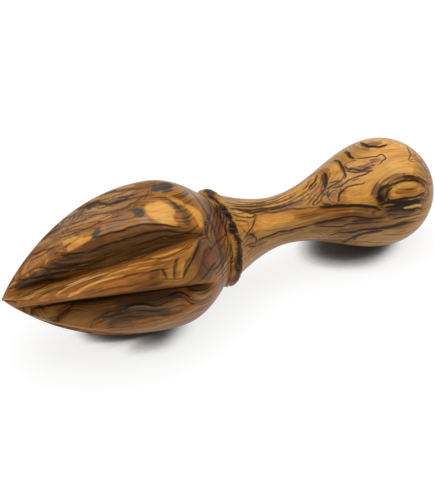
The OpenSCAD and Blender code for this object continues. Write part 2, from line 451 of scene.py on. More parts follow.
# Soft stripes: tone, strength, half width, softness, points. The bead is drawn in the same way.
stripes = [
    # handle
    ("dune", 0.85, 2.2, 1.2, "86 2.5, 94 -8.5, 101.5 -8, 109 -16, 115.5 -10.5"),
    ("dune", 0.9, 3, 1.4, "117.5 -25.5, 123.5 -17, 130 -13.5, 137 -12"),
    ("sand", 0.8, 2, 1.2, "78 14, 82 12, 86.5 8.5"),
    ("honey", 0.9, 1.6, 1.2, "86 88, 94 87, 101.5 94, 108 105.5"),
    ("cream", 0.6, 1, 1, "105 102.5, 109 108, 113.5 117.5"),
    ("ash", 0.6, 0.6, 0.6, "92 103, 98 111.5, 105.5 134.5, 109 128"),
    ("sand", 0.7, 0.6, 0.8, "78.5 84, 83.5 79.5, 90 78, 97 77.5"),
    ("gold", 0.95, 1.8, 1, "82 38, 87 43, 91.5 45, 96 42.5, 100.5 39"),
    ("orange", 0.95, 1.5, 1, "100.5 35, 105 31.5, 110 32.5, 115 27, 119 26.5"),
    ("amber", 0.8, 0.9, 0.8, "99 51.5, 104 47, 109.5 37, 115 33"),
    ("bronze", 0.95, 1.3, 0.8, "118.5 23.5, 122 24, 124.5 22.5"),
    ("coffee", 0.8, 0.9, 0.7, "124.5 20, 126 17.5"),
    ("dune", 0.6, 0.6, 0.5, "90 30.5, 95.5 29, 101 25, 106 26, 110.5 24.5, 114.5 22.5"),
    ("plum", 0.6, 0.6, 0.5, "91.5 68.5, 94.5 69.5, 98 69.5, 101.5 67, 105 63.5"),
    ("umber", 0.95, 0.8, 0.5, "105.5 10.5, 108.5 10, 111.5 12, 115 10, 118 12"),
    ("night", 0.8, 0.6, 0.5, "118 10, 121.5 10.5, 125.5 9"),
    ("bronze", 0.7, 0.6, 0.5, "110.5 -0.5, 113.5 -1.5, 117 0, 118.5 1.5"),
    ("rust", 0.85, 0.8, 0.6, "119.5 1.5, 122 1, 125 3.5, 128 5"),
    ("umber", 0.9, 0.9, 0.6, "127 -3, 130.5 -1.5, 134 -0.5, 138.5 1"),
    ("coffee", 0.92, 1.5, 0.8, "129 17.5, 133 15, 137.5 14, 141 10.5"),
    ("hazel", 0.85, 1.1, 0.8, "129.5 9.5, 133.5 9.5, 138.5 8.5"),
    ("umber", 0.8, 1.1, 0.8, "142 14.5, 145 15.5"),
    ("pale", 0.92, 3, 1.6, "132 94.5, 138 91.5, 143 87.5, 143.5 77"),
    ("pale", 0.9, 3, 1.6, "134 73, 138 66.5, 140.5 59.5, 143.5 53.5"),
    ("honey", 0.8, 3, 1.4, "124 67.5, 129 64, 134.5 60"),
    ("gold", 0.92, 3, 1.2, "117.5 49, 120.5 47.5, 124 48, 127 52"),
    ("amber", 0.8, 2, 1, "117.5 90.5, 119.5 92.5, 119 84.5"),
    ("honey", 0.7, 1, 0.7, "112 94, 114 97.5"),
    ("ash", 0.6, 1.4, 1, "117 112.5, 121 117.5, 125.5 122.5"),
    ("ash", 0.55, 1, 1, "125.5 118.5, 128 114.5, 132 118"),
    ("ash", 0.5, 0.8, 0.8, "143.5 102.5, 147 101, 149 89.5, 150 70.5, 153 57"),
    ("gold", 0.6, 1.4, 0.8, "117.5 96, 120 102, 120 90.5"),
    ("honey", 0.85, 1.2, 0.7, "125 89.5, 127 83.5, 129.5 81, 131.5 80"),
    ("blush", 0.8, 0.7, 0.6, "129.5 77.5, 132 76.5, 133.5 77"),
    ("plum", 0.8, 0.8, 0.5, "122.5 86, 124 78.5, 126.5 75, 129 73, 131 72"),
    ("sand", 0.8, 1.6, 0.9, "113.5 72.5, 116.5 71, 119 65.5"),
    ("dune", 0.8, 1.5, 0.9, "110.5 63, 112.5 62.5, 115 60.5"),
    ("blush", 0.7, 0.8, 0.6, "110.5 51.5, 112.5 47, 114.5 47"),
    ("plum", 0.9, 0.8, 0.5, "132.5 112.5, 133.5 101, 136.5 99, 139 99.5"),
    ("sand", 0.8, 0.5, 0.5, "135.5 113.5, 137.5 109"),
    ("blush", 0.7, 1, 0.8, "147.5 78.5, 147 68.5, 149 60.5, 150 51.5"),
    ("hazel", 0.85, 1.5, 1, "125.5 38.5, 127.5 44, 130 48.5"),
    ("night", 0.97, 1.3, 0.7, "127.5 39, 128 34, 128.5 29.5"),
    ("hazel", 0.75, 0.6, 0.6, "129.5 51, 133 52, 137.5 51.5, 142.5 47"),
    ("plum", 0.7, 0.5, 0.4, "131 47, 134.5 48.5, 138 48, 142 45, 145.5 40.5"),
    ("honey", 0.95, 1.9, 0.7, "131 36.5, 134 38, 138 39.5, 142 36.5, 144.5 32"),
    ("orange", 0.8, 0.9, 0.7, "133 36.5, 137 36, 140 33.5, 142.5 31.5"),
    ("night", 0.85, 1.0, 0.6, "130.5 26.5, 134.5 22.5, 139 21.5, 143 20"),
    ("cream", 0.85, 0.4, 0.35, "137.5 25.5, 140.5 26, 143 24.5"),
    ("cream", 0.85, 0.45, 0.4, "135 18, 138.5 17.5, 142 15.5, 144 12"),
    ("sand", 0.8, 0.4, 0.4, "128.5 25, 131 25, 133 23.5"),
    ("amber", 0.9, 2.2, 1, "77.5 56.5, 79 47, 81.5 51.5, 84 60.5"),
    ("gold", 0.6, 0.7, 0.6, "77.5 48, 77.5 40"),
    ("sand", 0.8, 1.4, 1, "77 21, 80 22, 83 20"),
    ("hazel", 0.7, 0.8, 0.6, "80.5 30.5, 82.5 28"),
    ("pale", 0.8, 1.6, 1, "77.5 75.5, 79 69, 81.5 61.5, 85 60"),
    ("cream", 0.8, 1.6, 1.2, "78 96, 81 91, 87 95, 92 93, 98.5 96.5, 104.5 106"),
    ("honey", 0.75, 1.2, 0.9, "77 59.5, 79 53, 80 46.5, 83 47"),
    ("dune", 0.8, 1, 0.8, "76.5 46, 76.5 38, 77.5 29, 79 20.5"),
    ("tan", 0.7, 1.2, 0.9, "76.5 22.5, 80 13, 83 10"),
    # head
    ("tan", 0.95, 3.6, 1.6, "14.5 137.5, 24 130.5, 32.5 125.5, 41 119.5, 50.5 113"),
    ("hazel", 0.95, 4, 1.4, "68 93.5, 68.5 77.5, 67.5 64, 65.5 51.5, 62 42, 59 34, 57 28, 55 21.5"),
    ("umber", 0.9, 4, 1.6, "55 17, 59.5 21, 64 28.5, 67.5 39"),
    ("ash", 0.85, 1.8, 1, "60 92.5, 63.5 89, 69.5 98.5, 72.5 88.5"),
    ("amber", 0.85, 0.9, 0.7, "63 4, 67 3.5, 71.5 3.5, 72 18, 72.5 32.5"),
    ("honey", 0.7, 0.9, 0.6, "71.5 60.5, 72 52, 71.5 45.5"),
    ("olive", 0.97, 4, 1.2, "11.5 71.5, 23.5 64, 35.5 58, 48 54, 58 50"),
    ("umber", 0.95, 1.8, 0.9, "3 71.5, 7.5 70, 12 68.5, 17.5 67, 24.5 64.5, 32.5 61"),
    ("coffee", 0.85, 1.4, 0.8, "3 71.5, 4.5 75, 9 65, 15.5 62, 22.5 57.5, 32.5 54.5"),
    ("night", 0.85, 1, 0.8, "3.5 70, 7 63, 12 57, 17.5 51.5, 21 51.5"),
    ("bronze", 0.7, 0.4, 0.4, "14 68.5, 20.5 59.5, 27 58.5, 32.5 58"),
    ("bronze", 0.6, 0.35, 0.35, "8.5 69.5, 13.5 64, 18 60, 23.5 59"),
    ("bronze", 0.6, 0.35, 0.35, "15.5 72, 19.5 67.5, 25 63, 31 60"),
    ("bronze", 0.85, 0.7, 0.5, "28.5 69.5, 31 69, 33.5 68.5, 36 67.5, 38 66.5, 41 65.5, 44 64.5"),
    ("moss", 0.6, 0.5, 0.5, "19.5 70.5, 22.5 68, 26 65.5, 29 63.5"),
    ("moss", 0.6, 0.5, 0.5, "29.5 54, 32.5 52.5, 35.5 51, 38.5 49.5"),
    ("moss", 0.75, 0.4, 0.4, "41.5 50, 44 50.5, 46.5 50.5, 49 50"),
    ("bronze", 0.7, 0.4, 0.4, "48.5 59.5, 51.5 57, 54.5 55, 57 53.5"),
    ("bronze", 0.8, 0.4, 0.4, "54 49, 56 49, 57.5 48"),
    ("coffee", 0.6, 0.6, 0.6, "29.5 63, 33.5 61, 37 59.5, 40.5 57.5"),
    ("amber", 0.9, 1.6, 0.8, "9.5 140, 12.5 135.5, 15 131, 17.5 129"),
    ("amber", 0.9, 1.2, 0.8, "8 142.5, 11 136.5, 13.5 131.5"),
    ("amber", 0.9, 0.9, 0.6, "15 133.5, 17.5 129.5, 19.5 127.5"),
    ("apricot", 0.9, 0.35, 0.3, "7.5 84, 8 84.5, 8 76.5"),
    ("apricot", 0.9, 0.35, 0.3, "10 79, 11 75.5, 12 78"),
    ("apricot", 0.9, 0.35, 0.3, "13 76.5, 14 79, 14.5 83.5"),
    ("tan", 0.85, 0.4, 0.35, "17.5 77.5, 18.5 79.5, 19 81"),
    ("gold", 0.95, 1.1, 0.5, "20 76, 22.5 77, 26 78.5"),
    ("apricot", 0.75, 0.6, 0.5, "3 120, 4 98, 5 88.5"),
    ("rust", 0.8, 1.1, 0.8, "17.5 126.5, 19 125.5, 20.5 124"),
    ("honey", 0.85, 1.2, 0.8, "22.5 125.5, 25 122, 28 118.5"),
    ("gold", 0.97, 0.9, 0.6, "20 76, 22 76.5, 24 75.5, 26 76"),
    ("cocoa", 0.9, 2, 1, "32 77, 34.5 77, 37.5 77.5, 40.5 77.5"),
    ("cocoa", 0.85, 1.4, 0.9, "36.5 83.5, 39 82, 41 81"),
    ("ash", 0.7, 1, 0.8, "42 71.5, 44 70, 45.5 68.5"),
    ("ash", 0.6, 0.6, 0.6, "31.5 77.5, 33 79.5"),
    ("slate", 0.95, 1, 0.6, "27.5 73.5, 29.5 77, 31 79.5"),
    ("slate", 0.97, 1.2, 0.7, "41.5 80, 43 80.5, 44 77.5, 44 73.5"),
    ("gold", 0.97, 2.4, 0.8, "48 82, 49.5 74.5, 51 68, 52.5 63"),
    ("gold", 0.95, 1.4, 0.8, "49 83, 51 79.5, 52.5 74, 54 67.5"),
    ("honey", 0.8, 1, 0.7, "54 86, 56 82.5, 57.5 77.5, 59 73"),
    ("gold", 0.95, 1.5, 0.7, "60.5 73, 61.5 67, 61.5 59.5, 60.5 53"),
    ("gold", 0.9, 1.2, 0.7, "58.5 75, 60.5 69, 60.5 61.5"),
    ("amber", 0.6, 1, 0.7, "59.5 63.5, 59 55"),
    ("slate", 0.95, 0.6, 0.5, "54 81.5, 55 78.5, 56 72, 56.5 68"),
    ("umber", 0.97, 1.3, 0.6, "57 70, 57 66, 56.5 61, 56.5 56"),
    ("gold", 0.95, 2.4, 0.7, "48 84.5, 48 75.5, 49.5 69, 52 63.5"),
    ("gold", 0.9, 1.2, 0.6, "48.5 66, 51 62, 53.5 61"),
    ("slate", 0.97, 1.4, 0.6, "42 82, 43 80.5, 43.5 76, 44 73.5"),
    ("umber", 0.75, 1.1, 0.8, "2.5 47, 7.5 32, 11.5 30.5, 16 32, 21 35.5, 26 35.5, 30.5 35.5"),
    ("bronze", 0.6, 1, 0.8, "30.5 35.5, 36 35, 41.5 35"),
    ("orange", 0.95, 2.2, 1, "22 27, 26.5 28, 31.5 30, 36 30.5, 40 29.5"),
    ("amber", 0.95, 0.9, 0.5, "31 35.5, 34 36.5, 38 37.5, 41 37, 44.5 37.5"),
    ("gold", 0.95, 0.7, 0.5, "43.5 41.5, 45.5 40.5, 48 40.5, 50.5 41, 53 41.5"),
    ("gold", 0.9, 0.5, 0.4, "36 39.5, 39 39.5, 41.5 39, 45 38.5"),
    ("cream", 0.9, 0.3, 0.3, "26.5 32.5, 30 35, 33 36.5, 36 37, 39.5 37"),
    ("cream", 0.85, 0.3, 0.3, "21.5 29, 24 30.5, 26.5 31.5, 29.5 32.5"),
    ("gold", 0.8, 0.4, 0.4, "37 34.5, 39 35, 42 34.5"),
    ("bronze", 0.8, 0.5, 0.4, "24.5 39, 27 40, 30 41.5, 34 42.5"),
    ("amber", 0.7, 0.7, 0.6, "25.5 27, 30 28, 34 28.5"),
    ("rust", 0.7, 0.6, 0.5, "20.5 23.5, 22.5 25.5, 24 25.5"),
    ("red", 0.8, 1.2, 0.8, "39.5 27, 41.5 29, 43.5 29.5"),
    ("apricot", 0.8, 0.5, 0.4, "45 37.5, 46.5 37, 49 37.5"),
    ("amber", 0.8, 1.6, 1, "45 28, 48.5 29, 52.5 32.5"),
    ("coffee", 0.9, 0.5, 0.4, "44 32, 44.5 27, 45 22.5"),
    ("coffee", 0.95, 0.5, 0.4, "50 37, 49 33, 48 28, 47.5 20.5"),
    ("gold", 0.6, 0.4, 0.4, "51.5 33, 50.5 28, 49.5 21"),
    ("umber", 0.7, 0.5, 0.4, "54 34.5, 52 30, 51 23"),
    ("cream", 0.9, 0.35, 0.3, "0 26.5, 1.5 31, 3.5 37, 5.5 40"),
    ("apricot", 0.85, 0.35, 0.3, "2 22, 4 33, 6.5 39.5, 8.5 46"),
    ("apricot", 0.95, 0.45, 0.4, "5 24.5, 6.5 24, 8.5 29.5, 10.5 33.5, 13 36"),
    ("apricot", 0.6, 0.4, 0.4, "8.5 19, 10 19, 11.5 22"),
    ("cream", 0.85, 0.35, 0.35, "17.5 33.5, 20 35.5, 22.5 37, 25.5 39"),
    ("cream", 0.9, 0.35, 0.3, "16 20.5, 17.5 25, 20 27.5, 23.5 30"),
    ("apricot", 0.8, 0.35, 0.3, "13.5 24.5, 14.5 25.5, 15.5 26"),
    ("bronze", 0.7, 0.5, 0.5, "15 28, 18 30.5, 20.5 32"),
    ("rust", 0.6, 0.6, 0.5, "11.5 25, 13.5 29, 14 31"),
    ("cream", 0.9, 0.42, 0.35, "13 24.5, 16 29.5, 19.5 33, 25 36.5, 31 38.5"),
    ("cream", 0.9, 0.4, 0.35, "16 20.5, 20.5 28, 25 31.5, 29.5 32.5, 34 33"),
    ("apricot", 0.9, 0.4, 0.35, "5 22.5, 9 34, 12.5 37.5"),
    ("apricot", 0.8, 0.35, 0.3, "2 26.5, 4 33, 6.5 45, 9.5 45"),
    ("apricot", 0.8, 0.4, 0.35, "9 19, 10.5 25.5, 12.5 27"),
    # Painted shade: a dark band along the valley of the flute at 6 degrees, under its upper wall, with its
    # soft edge on the lower wall
    ("night", 0.97, 1.2, 0.8, "12.5 -24, 17.5 -15.5, 23.5 -9.5, 29 -5.5, 35 -2, 41 0.5, 47 4.5, 53 4"),
    ("coffee", 0.9, 1.5, 1, "30.5 -8.5, 36.5 -6, 42.5 -2.5, 47.5 -1, 51.5 1.5"),
    ("dune", 0.95, 1.5, 0.8, "9 -35, 12 -30, 15 -25"),
    ("dune", 0.8, 0.6, 0.5, "6 -43.5, 7 -40, 8 -37"),
    ("sand", 0.95, 1.8, 0.9, "14.5 -29, 18.5 -24.5, 22 -20, 25 -17"),
    ("moss", 0.6, 1.2, 1, "25 -17, 28 -14, 31 -11"),
    ("umber", 0.95, 2.4, 1, "26.5 -21, 32.5 -16, 38.5 -12.5, 43.5 -10.5, 47.5 -9"),
    ("slate", 0.6, 0.4, 0.4, "23.5 -21, 27.5 -16.5, 31 -13.5, 34.5 -10, 38 -8, 41.5 -7, 44.5 -6"),
    ("moss", 0.9, 0.28, 0.25, "21.5 -27.5, 24 -22, 26.5 -18.5, 30 -15.5, 33 -13, 36 -10.5, 39 -10, 41.5 -9"),
    ("sand", 0.7, 0.9, 0.8, "34 -17, 39 -14.5, 43 -12"),
    ("sand", 0.9, 0.8, 0.6, "36 -25, 40.5 -23.5, 44.5 -21, 48.5 -19, 51.5 -15"),
    ("rust", 0.6, 1, 0.9, "27.5 -25.5, 31.5 -24.5"),
    ("sand", 0.8, 0.4, 0.4, "45.5 -7.5, 48 -6, 51 -5"),
    ("slate", 0.8, 0.6, 0.5, "47.5 -2, 49 -1.5, 51.5 -2"),
    ("coffee", 0.9, 0.9, 0.5, "53 4, 55.5 2.5, 58.5 2.5"),
    ("dune", 0.95, 0.9, 0.5, "54 -2, 56 -0.5, 58.5 0"),
    ("blush", 0.6, 1.4, 1, "52 -23.5, 56.5 -19.5, 61.5 -20.5, 65.5 -21.5"),
    ("slate", 0.6, 0.5, 0.5, "22.5 -22, 26 -18, 30 -13.5, 34 -9.5, 41 -6, 44.5 -5, 49.5 -2, 52 -2, "
     "53.5 -2.5"),
    ("sand", 0.85, 0.7, 0.6, "36.5 -15.5, 39.5 -14, 42.5 -12.5, 45.5 -13.5"),
    ("dune", 0.9, 0.9, 0.6, "54 -3, 56.5 -2.5, 58.5 -1, 61 1"),
    ("coffee", 0.85, 0.7, 0.5, "53.5 11.5, 57 4, 59 3.5, 61 4.5"),
    ("cocoa", 0.7, 1.4, 1, "28.5 -20.5, 32.5 -19, 36.5 -18.5"),
    ("apricot", 0.6, 0.6, 0.6, "51 -14, 53.5 -12, 56.5 -9"),
    ("umber", 0.7, 0.5, 0.4, "49 -8, 50.5 -7.5, 49.5 -8.5, 46 -10, 40.5 -11"),
    # Painted sheen: pale grey near the top rim of the far wall of the flute at 102 degrees, where the wood
    # reflects the bright room
    ("ash", 0.6, 0.6, 0.6, "25.5 131.5, 29 130, 32.5 128"),
    ("cream", 0.5, 0.5, 0.5, "43 122.5, 46.5 120, 50 117"),
    ("apricot", 0.6, 0.4, 0.4, "24.5 130, 29.5 126.5, 34 123, 38.5 119.5"),
    ("cream", 0.7, 0.3, 0.3, "36 116, 38 114, 40 113.5"),
    ("honey", 0.6, 0.5, 0.5, "25.5 127.5, 29.5 124, 34 119.5, 38 117"),
    ("slate", 0.95, 1.6, 0.6, "55 107, 55.5 109, 56.5 110"),
    ("slate", 0.95, 1.4, 0.6, "56.5 106.5, 58 107, 59.5 105"),
    # Painted sheen: pale grey stripes along the top rim of the same far wall
    ("ash", 0.8, 0.9, 0.9, "11.5 140, 17.5 139, 25.5 132.5, 32.5 130, 39.5 127, 46.5 125.5"),
    ("ash", 0.65, 1.2, 0.8, "20.5 132.5, 26.5 129.5, 32.5 125.5, 38 123"),
    ("slate", 0.95, 1.3, 0.5, "55.5 109.5, 58 107, 60.5 103.5"),
    ("slate", 0.95, 1.1, 0.5, "53.5 91.5, 56 93, 58.5 95.5"),
    ("gold", 0.95, 0.9, 0.6, "20 78, 23 76, 26 75.5, 28 75"),
    ("rust", 0.7, 0.6, 0.5, "10 138, 12 137, 14.5 134.5"),
    ("lichen", 0.97, 0.42, 0.25, "24 -22.5, 26.5 -20, 30 -16.5, 34 -13, 39 -10, 44 -8.5, 49 -6, 51.5 -5"),
    ("lichen", 0.8, 0.25, 0.25, "32.5 -11.5, 37 -9.5, 41 -8.5, 44 -7, 47 -4.5, 49.5 -3"),
    # back of the head and bead
    ("brown", 0.9, 2.2, 1.2, "67.5 82, 66.5 68, 64 55.5, 62.5 45, 62 37"),
    ("red", 0.85, 2.4, 1.4, "71.5 82, 71.5 68.5, 68 51, 66.5 39.5, 64.5 32"),
    ("rust", 0.7, 2.2, 1.4, "72 62.5, 71.5 53, 69.5 46"),
    ("red", 0.85, 2.6, 1.2, "64 37.5, 60.5 31.5, 58.5 27, 61.5 19.5, 65.5 20, 67.5 29"),
    ("rust", 0.6, 1.4, 1, "63.5 31, 61 26.5, 63.5 22, 65 26"),
    ("dune", 0.8, 1.3, 0.8, "72 37.5, 71.5 23, 70 14, 66 10.5, 62 7.5"),
    ("sand", 0.7, 1, 0.8, "70 30.5, 67.5 20.5, 64 14, 60 13.5"),
    ("apricot", 0.8, 0.35, 0.4, "72.5 32, 72 18, 70 11.5, 66.5 8.5, 63.5 6.5"),
    ("apricot", 0.8, 0.35, 0.4, "72.5 19.5, 72 8, 70 2.5, 65.5 4, 62.5 5"),
    ("slate", 0.9, 1, 0.6, "72.5 118.5, 73.5 114.5, 74.5 106.5"),
    ("night", 0.95, 0.7, 0.4, "73 106.5, 72.5 99, 73 89, 73 78"),
    ("night", 0.97, 1.2, 0.45, "73 83, 73.5 74.5, 73.5 68.5, 74 61.5, 74 54"),
    ("night", 0.97, 1.5, 0.45, "74 56.5, 74 51.5, 73.5 46, 74 40"),
    ("night", 0.93, 1, 0.5, "73.5 42.5, 74 38, 74.5 32, 74.5 24"),
    ("night", 0.9, 1.4, 0.6, "74 28.5, 74.5 19, 74 12, 73.5 2, 74 -7.5, 73.5 -15.5"),
    ("coffee", 0.8, 1.3, 0.7, "74 -7.5, 73.5 -17.5, 72.5 -26.5, 72 -31"),
    ("plum", 0.8, 0.5, 0.4, "74 27.5, 74.5 23.5, 75.5 18"),
    ("umber", 0.8, 0.35, 0.3, "72.5 74.5, 73 63, 72.5 53, 72.5 46"),
    ("slate", 0.7, 0.8, 0.7, "74.5 11.5, 74.5 1, 74.5 -12, 74 -23"),
    ("night", 0.97, 1.1, 0.5, "74.4 124, 74.4 180, 74.5 240, 74.6 300"),
    ("slate", 0.95, 1.2, 0.5, "73.2 94, 73.4 100, 73.7 108, 74 116, 74.3 124"),
    ("tan", 0.7, 0.35, 0.4, "72.1 120, 72.2 180, 72.1 240, 72.1 300")]
